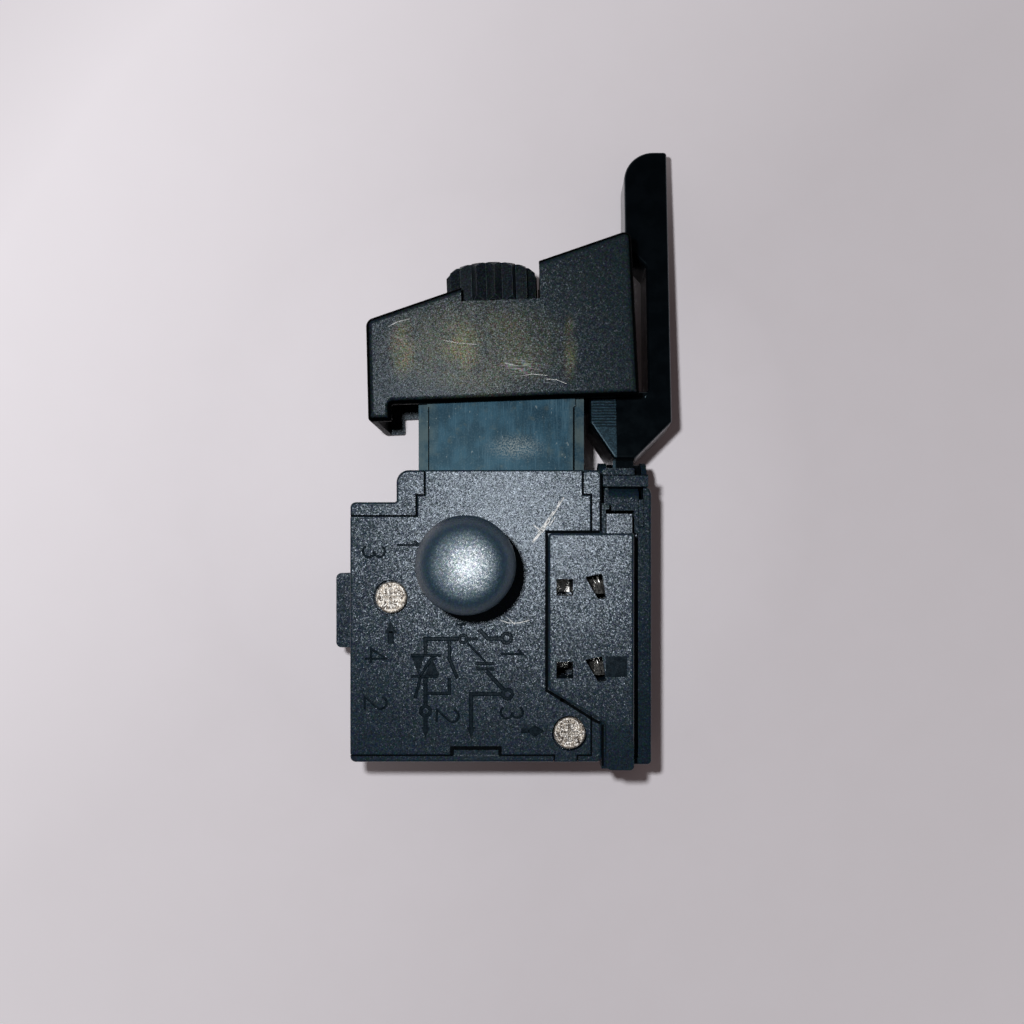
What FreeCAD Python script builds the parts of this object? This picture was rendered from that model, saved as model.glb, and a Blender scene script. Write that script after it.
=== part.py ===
"""Speed-control trigger switch for a corded drill, lying on its back face.

Built from the body's lower left corner: x to the right, y towards the finger lever, z up from the
back face. Everything is shifted at export so that the origin is under the middle of the switch.
"""
import FreeCAD
import Part
import math
import os

V = FreeCAD.Vector

# Body: a tray (base) and a front cover, millimetres. Its width follows from what it holds.
body_height = 42.4
body_depth = 17.0
wall = 2.0
floor = 1.5
cover_thickness = 1.6
seam = 0.12
rim_right = 1.5
rim_bottom = 1.0
edge_round = 0.35
shoulder_width = 6.7
shoulder_drop = 4.65
shoulder_rim = 2.0
ear_left_width = 4.1
ear_right_width = 2.7
ear_height = 3.6
ear_jog = 1.1
lug_inset = 6.9
lug_width = 3.4
tab_left = 14.8
tab_width = 6.9
tab_reach = 1.35
tab_sink = 0.5
tab_root = 3.0

# Locating rib on the left wall
rib_reach = 3.3
rib_low = 16.1
rib_length = 11.3
rib_bottom = 3.5
rib_depth = 7.0

# Housing screws
screw_left = (5.9, 23.9)
screw_right_inset = 4.64
screw_right_y = 4.2
screw_head_radius = 2.3
screw_head_height = 1.2
screw_shank_radius = 1.1
screw_end = 4.0
screw_sink = 0.15
screw_gap = 0.25
screw_boss_radius = 3.0
screw_boss_drop = 1.4
cross_length = 2.6
cross_width = 0.6
cross_depth = 0.7

# Plunger and its travel
travel = 7.0
plunger_inset = 2.95
plunger_margin = 2.45
plunger_gap = 0.2
plunger_lift = 0.9
plunger_end = 33.6
plunger_step = 0.8
plunger_rail = 1.5
plunger_web_gap = 0.5
plunger_head_top = 58.0
plunger_head_inset = 1.3
tail_width = 2.05
tail_end = 21.5
tail_gap = 0.12
tail_drop = 1.5
tail_depth = 3.5

# Trigger: a hollow moulding that leans a little on the plunger
lean = 2.1
trigger_left = 2.4
trigger_overhang = 5.56
trigger_foot_y = 50.2
trigger_edge_y = 52.6
trigger_foot_width = 3.45
trigger_left_top = 64.95
trigger_slope = 16.85
trigger_draft = 0.8
trigger_wall = 1.3
trigger_round = 1.0
trigger_corner = 1.3
trigger_nose = 1.1
trigger_rib = 1.2
trigger_slot_depth = 2.5

# Speed dial in the trigger, on its screw with a travelling stop nut
dial_x = 20.95
dial_y = 67.85
dial_width = 5.45
dial_radius = 6.95
dial_teeth = 16
dial_tooth_depth = 1.0
dial_turn = 5.0
dial_gap = 0.35
dial_bevel = 0.35
slot_left = 4.3
slot_right = 7.18
shelf_drop = 0.78
shelf_thickness = 1.3
dial_screw_radius = 1.3
dial_screw_end = 59.3
dial_screw_top = 1.0
driver_slot_half = 3.0
driver_slot_floor = 0.3
driver_slot_width = 0.5
nut_y = 60.2
nut_height = 2.6
nut_half = 3.0
running_gap = 0.05

# Lock button
button_y = 28.6
button_radius = 6.75
button_skirt = 4.2
button_height = 13.0
button_crown = 25.0
button_blend = 2.5
button_roof = 1.8
button_wall = 1.0
button_travel = 3.5
stem_radius = 3.9
stem_gap = 0.08
stem_reach = 7.0
stem_bore = 2.6
stem_bore_rise = 2.0
lug_reach = 4.7
lug_half = 1.0
lug_depth = 1.7
collar_wall = 1.4
collar_reach = 5.2
post_radius = 1.2
post_height = 6.5

# Springs
lock_spring_radius = 1.95
lock_spring_wire = 0.32
lock_spring_turns = 6
spring_web = 0.82
spring_outer_web = 0.6
trigger_spring_radius = 1.5
trigger_spring_wire = 0.26
trigger_spring_turns = 7
spring_bore = 2.0
spring_pocket_top = 42.0
spring_seat_y = 19.0
spring_seat_thickness = 1.2
spring_seat_width = 4.0
spring_seat_over = 2.2
spring_pin_radius = 0.9
spring_pin_length = 4.0

# Terminal chamber under the reversing unit's plate
chamber_room = 7.1
chamber_bottom = 11.0
chamber_top = 28.0
chamber_wall = 0.8
chamber_end_wall = 1.0
window_floor = 5.8

# Reversing unit on the right side
unit_width = 7.6
unit_drop = 1.0
unit_step = 3.0
unit_left_wall = 1.1
unit_right_wall = 2.0
unit_floor = 1.2
unit_end_wall = 1.1
unit_top_y = 40.3
unit_round = 1.2
unit_left_step = 0.4
unit_end_room = 2.2
barrel_room = 6.0

# Lever bearing at the top of the unit
pivot_y = 41.0
pivot_radius = 3.0
trunnion_radius = 1.2
trunnion_length = 0.8
cheek_width = 1.2
side_gap = 0.1
cheek_inset = 0.4
bridge_y = 40.1
bridge_length = 1.7
bridge_drop = 0.8
bridge_depth = 4.6
bridge_left_inset = 0.25
bridge_inset = 0.75
lip_length = 1.2
lip_width = 5.1
lip_thickness = 1.1
lip_corner = 0.8
bar_reach = 3.4
bar_root = 0.1
bar_depth = 2.2
bar_round = 1.9
pad_gap = 0.45
pad_length = 3.5
left_wall_top = 37.6
left_wall_web = 0.6

# Reversing cover plate with its wire holes and release windows
plate_over_body = 7.8
plate_over_unit = 4.6
plate_thickness = 1.2
plate_low_left = 10.6
plate_low_right = 6.0
tongue_inset = 0.5
tongue_start = 5.6
tongue_fall = 0.5
plate_round = 0.4
tab_c_gap = 0.65
tab_c_overlap = 0.45
tab_c_sink = 0.5
wire_hole = 2.4
wire_hole_inset = 5.4
wire_rows = [25.4, 13.5]
window_inset = 2.5
window_top_width = 2.5
window_low_width = 1.15
window_length = 3.4
window_skew = 1.9
blade_room_half = 1.4
flange_drop = 1.4
flange_thickness = 0.8
guide_depth = 4.0

# Reversing lever: tip down in one of its two positions
lever_tilt = 5.5
lever_overhang = 3.3
arm_width = 3.5
block_width = 12.36
block_top = 54.4
block_low_left = 49.5
block_low_right = 49.7
neck_inset = 2.1
neck_width = 3.1
neck_y = 44.0
paddle_width = 6.65
paddle_length = 15.35
paddle_slant = 3.4
tip_y = 92.95
tip_round = 4.6
tip_corner = 0.5
lever_side_gap = 3.8
lever_taper = 1.65
lever_edge = 0.45
web_sink = 0.35
web_inset = 4.0
web_height = 3.4
web_edge = 0.7
web_gap = 0.3
web_overrun = 2.2
finger_length = 10.0
finger_radius = 1.0
finger_half_width = 1.3
finger_half_depth = 0.7

# Contact slide inside the reversing unit
slide_gap = 0.24
slide_thickness = 1.6
slide_low = 9.0
slide_top = 32.6
yoke_length = 3.0
yoke_inset = 1.8
contact_metal = 0.4
bridge_bar_half = 1.1
bridge_bar_thickness = 0.5
contact_gap = 0.05
contact_half = 1.0
contact_reach = 3.4
contact_inset = 0.3
cage_half = 1.5
cage_inset = 0.7
cage_low = 0.6
blade_high = 2.2
blade_rise = 1.6
blade_reach = 1.3
blade_drop = 1.2
detent_length = 4.0
detent_half = 1.0
detent_rise = 1.6
detent_metal = 0.3
detent_lift = 0.22

# Circuit board and what it carries
board_left = 3.0
board_gap = 3.1
board_low = 3.0
board_high = 25.5
board_notch_x = 9.6
board_notch_y = 20.4
board_drop = 3.0
board_thickness = 1.2
board_post_radius = 1.3
board_post_inset = 3.0
strip_low = 8.0
strip_high = 19.3
strip_height = 4.8
triac_size = (8.0, 8.0, 3.6)
triac_inset = 9.0
triac_low = 10.0
sink_size = (9.2, 17.0, 1.2)
sink_overlap = 0.4
sink_low = 6.2
capacitor_size = (5.0, 14.0, 6.0)
capacitor_margin = (0.4, 1.0)
resistor_radius = 0.9
resistor_length = 4.0
resistor_insets = [7.7, 4.3]
resistor_low = 3.3
line_entry_inset = 3.0
line_entry = 2.6
line_entry_half_pitch = 3.5
line_terminal_length = 9.0
line_terminal_half = 1.2
line_blade_low = 2.5
line_blade_drop = 0.3
wiper_root = 5.0
wiper_bend = 3.6
wiper_touch = 1.9
wiper_tip = 1.0
wiper_lift = 0.5
slider_length = 3.5
slider_metal = 0.3
slider_inset = 0.2

# Worked out
front = body_depth
cover_z = body_depth - cover_thickness
middle_z = body_depth / 2

# Across the body: shoulder, plunger's tail, button's collar, spring, terminal chamber, wall
plunger_left = shoulder_width + plunger_inset
collar_room = stem_radius + stem_gap + collar_wall + plunger_gap
button_x = plunger_left + tail_width + tail_gap + collar_room
trigger_spring_x = button_x + collar_room + spring_web + spring_bore
plunger_long_right = trigger_spring_x + spring_bore + spring_outer_web
chamber_left = plunger_long_right + plunger_gap + chamber_wall
body_width = chamber_left + chamber_room
plunger_right = body_width - plunger_margin
lug_left = body_width - lug_inset
screw_places = [screw_left, (body_width - screw_right_inset, screw_right_y)]
line_entry_x = chamber_left - chamber_wall - line_entry_inset
board_right = line_entry_x - board_gap
unit_left = body_width
unit_right = unit_left + unit_width
plate_left = body_width - plate_over_body
plate_right = unit_left + plate_over_unit
tongue_left = unit_left + tongue_inset
wire_hole_x = body_width - wire_hole_inset
window_x = body_width - window_inset
trigger_right = body_width + trigger_overhang
lever_right = unit_right + lever_overhang
block_left = lever_right - block_width
neck_left = unit_left + neck_inset
paddle_left = lever_right - paddle_width
paddle_low = tip_y - paddle_length
yoke_left = unit_left + yoke_inset

# Along the reversing unit: bridge, bar, pad beside the cover's tab
bar_y = bridge_y - bar_reach
plate_top = bar_y - pad_length
tab_c_end = bar_y - tab_c_gap

# Through its depth
unit_depth = body_depth - unit_step
unit_left_height = body_depth - unit_left_step
bridge_bottom = body_depth - bridge_depth
bridge_top = body_depth - bridge_drop
bar_bottom = unit_depth - bar_depth
flange_z = unit_depth - flange_drop
guide_bottom = body_depth - guide_depth
button_skirt_z = front + button_skirt
button_top = front + button_height
stem_bottom = front - stem_reach
stem_bore_top = front + stem_bore_rise
collar_bottom = front - collar_reach
post_top = floor + post_height
plunger_bottom = floor + plunger_lift
plunger_top = cover_z - plunger_gap
plunger_web = stem_bottom - button_travel - plunger_web_gap - plunger_bottom
tail_bottom = middle_z - tail_drop
board_z = tail_bottom - board_drop
board_top = board_z + board_thickness
line_entry_rows = [middle_z - line_entry_half_pitch, middle_z + line_entry_half_pitch]
lever_half_depth = middle_z - lever_side_gap
tip_half_depth = lever_half_depth - lever_taper
half_swing = finger_length * math.sin(math.radians(lever_tilt))
slide_half_depth = flange_z - middle_z - half_swing - slide_gap

unit_bottom = -unit_drop
lean_pivot = V((plunger_left + plunger_right) / 2, trigger_edge_y, 0)
lever_pivot = V(0, pivot_y, middle_z)
tip_reach = pivot_y + (tip_y - pivot_y) * math.cos(math.radians(lever_tilt))
shift = V(
    -(lever_right - rib_reach) / 2,
    -(tip_reach + tip_half_depth * math.sin(math.radians(lever_tilt)) - unit_drop) / 2,
    0,
)


def box(x0, x1, y0, y1, z0, z1):
    """A block between two corners."""
    return Part.makeBox(x1 - x0, y1 - y0, z1 - z0, V(x0, y0, z0))


def rod(centre, radius, length, axis):
    """A cylinder that starts at a point and runs along an axis."""
    return Part.makeCylinder(radius, length, centre, axis)


def outline(corners, plane=lambda x, y: V(x, y, 0)):
    """A closed wire through corners (x, y, radius), with a tangent arc at each radius."""
    starts, ends, mids = [], [], []
    count = len(corners)
    for i, (x, y, radius) in enumerate(corners):
        here = V(x, y, 0)
        before = V(*corners[i - 1][:2], 0) - here
        after = V(*corners[(i + 1) % count][:2], 0) - here
        before.normalize()
        after.normalize()
        half = before.getAngle(after) / 2
        reach = radius / math.tan(half) if radius else 0
        starts.append(here + before * reach)
        ends.append(here + after * reach)
        bisector = before + after
        bisector.normalize()
        mids.append(here + bisector * (radius / math.sin(half) - radius) if radius else here)
    edges = []
    for i in range(count):
        if corners[i][2]:
            arc = [plane(p.x, p.y) for p in (starts[i], mids[i], ends[i])]
            edges.append(Part.Arc(*arc).toShape())
        a, b = ends[i], starts[(i + 1) % count]
        if (b - a).Length > 1e-6:
            edges.append(Part.LineSegment(plane(a.x, a.y), plane(b.x, b.y)).toShape())
    return Part.Wire(edges)


def prism(corners, z0, z1):
    """An outline in plan, raised from z0 to z1."""
    face = Part.Face(outline(corners))
    face.translate(V(0, 0, z0))
    return face.extrude(V(0, 0, z1 - z0))


def strip(points, thickness, centre, half_width, plane):
    """A bent metal strip: a path of points in a plane, given thickness and width."""
    normal = plane(1, 0).cross(plane(0, 1))
    pieces = []
    for (x0, y0), (x1, y1) in zip(points, points[1:]):
        length = math.hypot(x1 - x0, y1 - y0)
        ax, ay = (x1 - x0) / length, (y1 - y0) / length
        t = thickness / 2
        x0, y0, x1, y1 = x0 - ax * t, y0 - ay * t, x1 + ax * t, y1 + ay * t
        corners = [(x0 - ay * t, y0 + ax * t), (x1 - ay * t, y1 + ax * t),
                   (x1 + ay * t, y1 - ax * t), (x0 + ay * t, y0 - ax * t)]
        wire = outline([(x, y, 0) for x, y in corners], plane)
        face = Part.Face(wire)
        face.translate(centre - normal * half_width)
        pieces.append(face.extrude(normal * (2 * half_width)))
    return fused(pieces)


def fused(pieces):
    """One solid from pieces that touch."""
    whole = pieces[0]
    for piece in pieces[1:]:
        whole = whole.fuse(piece)
    return whole.removeSplitter()


def edges_at(shape, z, inside=lambda edge: True):
    """The level edges of a shape at a height."""
    level = []
    for edge in shape.Edges:
        bounds = edge.BoundBox
        if abs(bounds.ZMin - z) < 1e-4 and abs(bounds.ZMax - z) < 1e-4 and inside(edge):
            level.append(edge)
    return level


def coil(radius, wire_radius, turns, length):
    """A helical spring that stands on z = 0, with its wire inside the length."""
    pitch = (length - 2 * wire_radius) / turns
    helix = Part.makeHelix(pitch, pitch * turns, radius)
    section = Part.Wire(Part.Circle(V(radius, 0, 0), V(0, 1, 0), wire_radius).toShape())
    spring = Part.Wire(helix.Edges).makePipeShell([section], True, True)
    spring.translate(V(0, 0, wire_radius))
    return spring


def leaned(shape):
    """Turns a piece of the trigger by its lean on the plunger."""
    turned = shape.copy()
    turned.rotate(lean_pivot, V(0, 0, 1), lean)
    return turned


def tilted(shape):
    """Turns the lever about its trunnions, tip down."""
    turned = shape.copy()
    turned.rotate(lever_pivot, V(1, 0, 0), -lever_tilt)
    return turned


def body_outline(inset=0.0):
    """The body in plan: a rectangle with a lower shoulder at its top left."""
    shoulder_y = body_height - shoulder_drop
    corner = max(1.8 - inset, 0.4)
    small = max(0.8 - inset, 0.2)
    return [
        (inset, inset, small),
        (body_width - inset, inset, small),
        (body_width - inset, body_height - inset, small),
        (shoulder_width + inset, body_height - inset, corner),
        (shoulder_width + inset, shoulder_y - inset, 0.3),
        (inset, shoulder_y - inset, small),
    ]


def cover_outline(gap=0.0):
    """The front cover in plan, inside the base's rim, grown by a gap for its recess."""
    shoulder_y = body_height - shoulder_drop - shoulder_rim + gap
    ear_y = body_height - ear_height + gap
    left_x = shoulder_width + ear_left_width - gap
    jog_x = left_x - ear_jog
    right_x = body_width - ear_right_width + gap
    rim_x = body_width - rim_right + gap
    top = body_height + gap
    return [
        (-gap, rim_bottom - gap, 0.3),
        (lug_left - gap, rim_bottom - gap, 0),
        (lug_left - gap, -gap, 0),
        (lug_left + lug_width + gap, -gap, 0),
        (lug_left + lug_width + gap, rim_bottom - gap, 0),
        (rim_x, rim_bottom - gap, 0.3),
        (rim_x, ear_y, 0),
        (right_x, ear_y, 0),
        (right_x, top, 0),
        (left_x, top, 0),
        (left_x, ear_y, 0),
        (jog_x, ear_y, 0),
        (jog_x, shoulder_y, 0),
        (-gap, shoulder_y, 0.3),
    ]


def make_base():
    base = prism(body_outline(), 0, body_depth)
    base = base.makeFillet(edge_round, edges_at(base, 0) + edges_at(base, front))
    base = base.cut(prism(body_outline(wall), floor, cover_z))
    slot_gap = plunger_gap
    base = base.cut(box(plunger_left - slot_gap, plunger_right + slot_gap, body_height - 3 * wall,
                        body_height + 1, plunger_bottom - slot_gap, cover_z))
    # The chamber for the push-in terminals, open towards the reversing unit
    chamber_x = chamber_left - chamber_wall
    base = base.fuse(box(chamber_x, body_width - wall, chamber_bottom - chamber_end_wall,
                         chamber_top + chamber_end_wall, floor, cover_z))
    base = base.cut(box(chamber_left, body_width + 1, chamber_bottom, chamber_top,
                        window_floor, front + 1))
    # Bosses, posts and the spring seat
    for x, y in screw_places:
        base = base.fuse(rod(V(x, y, floor), screw_boss_radius, cover_z - screw_boss_drop - floor,
                             V(0, 0, 1)))
    base = base.fuse(rod(V(button_x, button_y, floor), post_radius, post_top - floor, V(0, 0, 1)))
    for x, y in ((board_left + board_post_inset, board_low + board_post_inset), (board_right - board_post_inset, board_low + board_post_inset),
                 (board_right - board_post_inset, board_high - board_post_inset)):
        base = base.fuse(rod(V(x, y, floor), board_post_radius, board_z - floor, V(0, 0, 1)))
    seat_x = trigger_spring_x - spring_seat_width / 2
    base = base.fuse(box(seat_x, seat_x + spring_seat_width, spring_seat_y,
                         spring_seat_y + spring_seat_thickness, floor, middle_z + spring_seat_over))
    base = base.fuse(rod(V(trigger_spring_x, spring_seat_y, middle_z), spring_pin_radius,
                         spring_seat_thickness + spring_pin_length, V(0, 1, 0)))
    # Locating rib, with a rounded outer edge
    rib = prism([(-rib_reach, rib_low, 0.8), (0.5, rib_low, 0), (0.5, rib_low + rib_length, 0),
                 (-rib_reach, rib_low + rib_length, 0.8)], rib_bottom, rib_bottom + rib_depth)
    base = base.fuse(rib)
    # The recess that the cover drops into, and the snap tab left standing in it
    base = base.cut(prism(cover_outline(seam), cover_z, front + 1))
    tab = box(tab_left + seam, tab_left + tab_width - seam, rim_bottom - seam,
              rim_bottom + tab_reach - seam, cover_z - tab_root, front - tab_sink)
    base = base.fuse(tab)
    for x, y in screw_places:
        base = base.cut(rod(V(x, y, screw_end - 0.5), screw_shank_radius, front, V(0, 0, 1)))
        base = base.cut(rod(V(x, y, cover_z - screw_boss_drop), screw_boss_radius + seam, front,
                            V(0, 0, 1)))
    for z in line_entry_rows:
        base = base.cut(box(line_entry_x - line_entry / 2, line_entry_x + line_entry / 2,
                            -1, wall + 1, z - line_entry / 2, z + line_entry / 2))
    return base.removeSplitter()


def make_cover():
    cover = prism(cover_outline(), cover_z, front)
    cover = cover.makeFillet(0.25, edges_at(cover, front))
    cover = cover.cut(box(tab_left, tab_left + tab_width, 0, rim_bottom + tab_reach, cover_z - 1,
                          front + 1))
    for x, y in screw_places:
        cover = cover.fuse(rod(V(x, y, cover_z - screw_boss_drop), screw_boss_radius,
                               screw_boss_drop, V(0, 0, 1)))
        cover = cover.cut(rod(V(x, y, 0), screw_shank_radius + 0.1, front, V(0, 0, 1)))
        seat = front - screw_sink - screw_head_height
        cover = cover.cut(rod(V(x, y, seat), screw_head_radius + screw_gap, front, V(0, 0, 1)))
    hole = stem_radius + stem_gap
    collar = rod(V(button_x, button_y, collar_bottom), hole + collar_wall,
                 cover_z - collar_bottom, V(0, 0, 1))
    cover = cover.fuse(collar).cut(rod(V(button_x, button_y, 0), hole, front + 1, V(0, 0, 1)))
    cover = cover.cut(box(chamber_left - 0.1, body_width, chamber_bottom, chamber_top,
                          cover_z - 1, front + 1))
    return cover.removeSplitter()


def make_screw(x, y):
    top = front - screw_sink
    head_z = top - screw_head_height
    head = rod(V(x, y, head_z), screw_head_radius, screw_head_height, V(0, 0, 1))
    head = head.makeFillet(0.3, edges_at(head, top))
    for along, across in ((cross_length, cross_width), (cross_width, cross_length)):
        head = head.cut(box(x - along / 2, x + along / 2, y - across / 2, y + across / 2,
                            top - cross_depth, top + 1))
    shank = rod(V(x, y, screw_end + 1), screw_shank_radius, head_z - screw_end - 1, V(0, 0, 1))
    point = Part.makeCone(0.3, screw_shank_radius, 1, V(x, y, screw_end), V(0, 0, 1))
    return fused([head, shank, point])


def make_plunger():
    body = box(plunger_left, plunger_right, plunger_end, trigger_edge_y + 1.2, plunger_bottom,
               plunger_top)
    for x in (plunger_left, plunger_right - plunger_rail):
        body = body.cut(box(x, x + plunger_rail, plunger_end, plunger_head_top,
                            plunger_top - plunger_step, plunger_top + 1))
    inset = plunger_head_inset
    head = box(plunger_left + inset, plunger_right - inset, trigger_edge_y - 1, plunger_head_top,
               plunger_bottom, plunger_top)
    body = body.fuse(leaned(head))
    shoulder = chamber_top + chamber_end_wall + travel + 2 * plunger_gap
    body = body.cut(box(plunger_long_right, plunger_right + 1, plunger_end - 1, shoulder,
                        0, front))
    # The slot that straddles the lock button's collar, and the spring below it
    slot_top = button_y + collar_room + travel + plunger_gap
    body = body.cut(box(button_x - collar_room, button_x + collar_room, plunger_end - 1,
                        slot_top, plunger_bottom + plunger_web, front))
    spring_half = lock_spring_radius + lock_spring_wire + 0.4
    body = body.cut(box(button_x - spring_half, button_x + spring_half, plunger_end - 1,
                        button_y + spring_half + travel, 0, front))
    body = body.cut(rod(V(trigger_spring_x, plunger_end - 1, middle_z), spring_bore,
                        spring_pocket_top - plunger_end + 1, V(0, 1, 0)))
    tail = box(plunger_left, plunger_left + tail_width, tail_end, plunger_end + 1, tail_bottom,
               tail_bottom + tail_depth)
    return fused([body, tail])


def slope_y(x, drop=0.0):
    """The height of the trigger's sloping front at x, or of a line a drop behind it."""
    rise = math.tan(math.radians(trigger_slope))
    return trigger_left_top + (x - trigger_left) * rise - drop / math.cos(math.radians(trigger_slope))


def trigger_outline(inset=0.0):
    """The trigger in side view before it leans, or its hollow when inset."""
    draft = math.tan(math.radians(trigger_draft))
    left_low = trigger_left + inset
    left_high = left_low + (trigger_left_top - trigger_foot_y) * draft
    right_low = trigger_right - inset
    right_high = right_low - (slope_y(right_low) - trigger_edge_y) * draft
    low = trigger_foot_y - inset
    foot_x = trigger_left + trigger_foot_width
    corner = max(trigger_corner - inset, 0.3)
    nose = max(trigger_nose - inset, 0.3)
    if inset:
        return [(left_low, low, 0), (right_low, low, 0),
                (right_high, slope_y(right_high, inset), nose),
                (left_high, slope_y(left_high, inset), corner)]
    return [(left_low, low, 0.6), (foot_x, low, 0.3), (foot_x, trigger_edge_y, 0.3),
            (right_low, trigger_edge_y, 0.3), (right_high, slope_y(right_high), nose),
            (left_high, slope_y(left_high), corner)]


def make_trigger():
    shell = prism(trigger_outline(), 0, body_depth)

    def gripped(edge):
        """True for the edges that the finger meets: the left side, the slope and the right side."""
        low = edge.BoundBox
        return low.YMax > trigger_edge_y + 1

    rounded = [e for z in (0, front) for e in edges_at(shell, z, gripped)]
    shell = shell.makeFillet(trigger_round, rounded)
    shell = shell.cut(prism(trigger_outline(trigger_wall), trigger_wall,
                            body_depth - trigger_wall))
    inner_z = (trigger_wall, body_depth - trigger_wall)
    # Ribs that seat on the plunger's head
    seat_left = plunger_left + plunger_head_inset + 0.5
    seat_right = plunger_right - plunger_head_inset - 0.5 - trigger_rib
    ribs = [box(x, x + trigger_rib, plunger_head_top, slope_y(x) - trigger_wall / 2, *inner_z)
            for x in (seat_left, seat_right)]
    # The pocket round the dial: a shelf below it and a wall on each side
    shelf_y = dial_y - shelf_drop
    pocket_half = dial_radius + dial_gap
    left_x = dial_x - pocket_half
    right_x = dial_x + pocket_half
    ribs.append(box(left_x - trigger_wall, right_x + trigger_wall, shelf_y - shelf_thickness,
                    shelf_y, *inner_z))
    for x in (left_x - trigger_wall, right_x):
        ribs.append(box(x, x + trigger_wall, shelf_y - shelf_thickness,
                        slope_y(x) - trigger_wall / 2, *inner_z))
    # Guides for the stop nut
    for x in (dial_x - nut_half - trigger_rib - side_gap, dial_x + nut_half + side_gap):
        ribs.append(box(x, x + trigger_rib, plunger_head_top + 0.4, shelf_y - 1, *inner_z))
    shell = fused([shell] + ribs)
    shell = shell.cut(box(left_x, right_x, shelf_y, slope_y(right_x) + dial_radius, *inner_z))
    shell = shell.cut(box(dial_x - slot_left, dial_x + slot_right, shelf_y,
                          slope_y(right_x) + dial_radius, -1, front + 1))
    shell = shell.cut(rod(V(dial_x, shelf_y - 2 * shelf_thickness, middle_z),
                          dial_screw_radius + running_gap, 4 * shelf_thickness, V(0, 1, 0)))
    # The right wall is open at the bottom, so that it passes over the reversing lever
    slot_top = block_top + travel + 1.0
    wall_x = trigger_right - trigger_slot_depth
    shell = shell.cut(box(wall_x, trigger_right + trigger_wall, trigger_edge_y - 1, slot_top,
                          *inner_z))
    return leaned(shell.removeSplitter())


def make_dial():
    points = []
    for i in range(2 * dial_teeth):
        angle = math.radians(dial_turn + i * 180 / dial_teeth)
        radius = dial_radius - (dial_tooth_depth if i % 2 else 0)
        points.append(V(dial_x + radius * math.sin(angle), dial_y,
                        middle_z + radius * math.cos(angle)))
    wheel = Part.Face(Part.makePolygon(points + points[:1])).extrude(V(0, dial_width, 0))
    # Bevels both rims by cutting with a turned profile
    inner = dial_radius - 2 * dial_bevel
    profile = [V(0, 0, 0), V(inner, 0, 0), V(dial_radius + 0.1, 2 * dial_bevel, 0),
               V(dial_radius + 0.1, dial_width - 2 * dial_bevel, 0), V(inner, dial_width, 0),
               V(0, dial_width, 0)]
    drum = Part.Face(Part.makePolygon(profile + profile[:1]))
    drum = drum.revolve(V(0, 0, 0), V(0, 1, 0), 360)
    drum.translate(V(dial_x, dial_y, middle_z))
    wheel = wheel.common(drum)
    recess = rod(V(dial_x, dial_y + dial_width - dial_screw_top, middle_z),
                 2 * dial_screw_radius, dial_width, V(0, 1, 0))
    bore = rod(V(dial_x, dial_y - 1, middle_z), dial_screw_radius, 3 * dial_width, V(0, 1, 0))
    return leaned(wheel.cut(recess).cut(bore))


def make_dial_screw():
    top = dial_y + dial_width - dial_screw_top
    shank = rod(V(dial_x, dial_screw_end, middle_z), dial_screw_radius, top - dial_screw_end,
                V(0, 1, 0))
    head = rod(V(dial_x, top, middle_z), 1.6 * dial_screw_radius, 0.7, V(0, 1, 0))
    slot_half_width = driver_slot_width / 2
    slot = box(dial_x - driver_slot_half, dial_x + driver_slot_half, top + driver_slot_floor,
               top + dial_screw_top, middle_z - slot_half_width, middle_z + slot_half_width)
    return leaned(fused([shank, head]).cut(slot))


def make_nut():
    nut = box(dial_x - nut_half, dial_x + nut_half, nut_y, nut_y + nut_height,
              middle_z - nut_half, middle_z + nut_half)
    hole = rod(V(dial_x, nut_y - 1, middle_z), dial_screw_radius + running_gap, 2 + nut_height,
               V(0, 1, 0))
    return leaned(nut.cut(hole))


def make_button():
    """A mushroom cap on a hollow stem: a flat crown that a rounded shoulder joins to the side."""
    cap_inner = button_radius - button_wall
    # The shoulder's arc touches the crown's from inside, and the side
    blend_x = button_radius - button_blend
    crown_z = button_top - button_crown
    blend_z = crown_z + math.sqrt((button_crown - button_blend) ** 2 - blend_x ** 2)
    meet = math.atan2(blend_x, blend_z - crown_z)

    def on_crown(angle):
        return V(button_crown * math.sin(angle), 0, crown_z + button_crown * math.cos(angle))

    def on_blend(angle):
        return V(blend_x + button_blend * math.sin(angle), 0,
                 blend_z + button_blend * math.cos(angle))

    quarter = math.pi / 2
    dome = Part.Arc(on_crown(0), on_crown(meet / 2), on_crown(meet)).toShape()
    blend = Part.Arc(on_crown(meet), on_blend((meet + quarter) / 2), on_blend(quarter)).toShape()
    cap_roof = button_top - button_roof
    corners = [V(button_radius, 0, blend_z), V(button_radius, 0, button_skirt_z),
               V(cap_inner, 0, button_skirt_z), V(cap_inner, 0, cap_roof),
               V(stem_radius, 0, cap_roof), V(stem_radius, 0, stem_bottom),
               V(stem_bore, 0, stem_bottom), V(stem_bore, 0, stem_bore_top),
               V(0, 0, stem_bore_top), V(0, 0, button_top)]
    lines = [Part.LineSegment(a, b).toShape() for a, b in zip(corners, corners[1:])]
    profile = Part.Face(Part.Wire([dome, blend] + lines))
    button = profile.revolve(V(0, 0, 0), V(0, 0, 1), 360)
    lugs = box(-lug_reach, lug_reach, -lug_half, lug_half, stem_bottom, stem_bottom + lug_depth)
    lugs = lugs.cut(rod(V(0, 0, 0), stem_bore, front, V(0, 0, 1)))
    button = fused([button, lugs])
    button.translate(V(button_x, button_y, 0))
    return button


def make_lock_spring():
    spring = coil(lock_spring_radius, lock_spring_wire, lock_spring_turns, stem_bore_top - floor)
    spring.translate(V(button_x, button_y, floor))
    return spring


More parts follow.
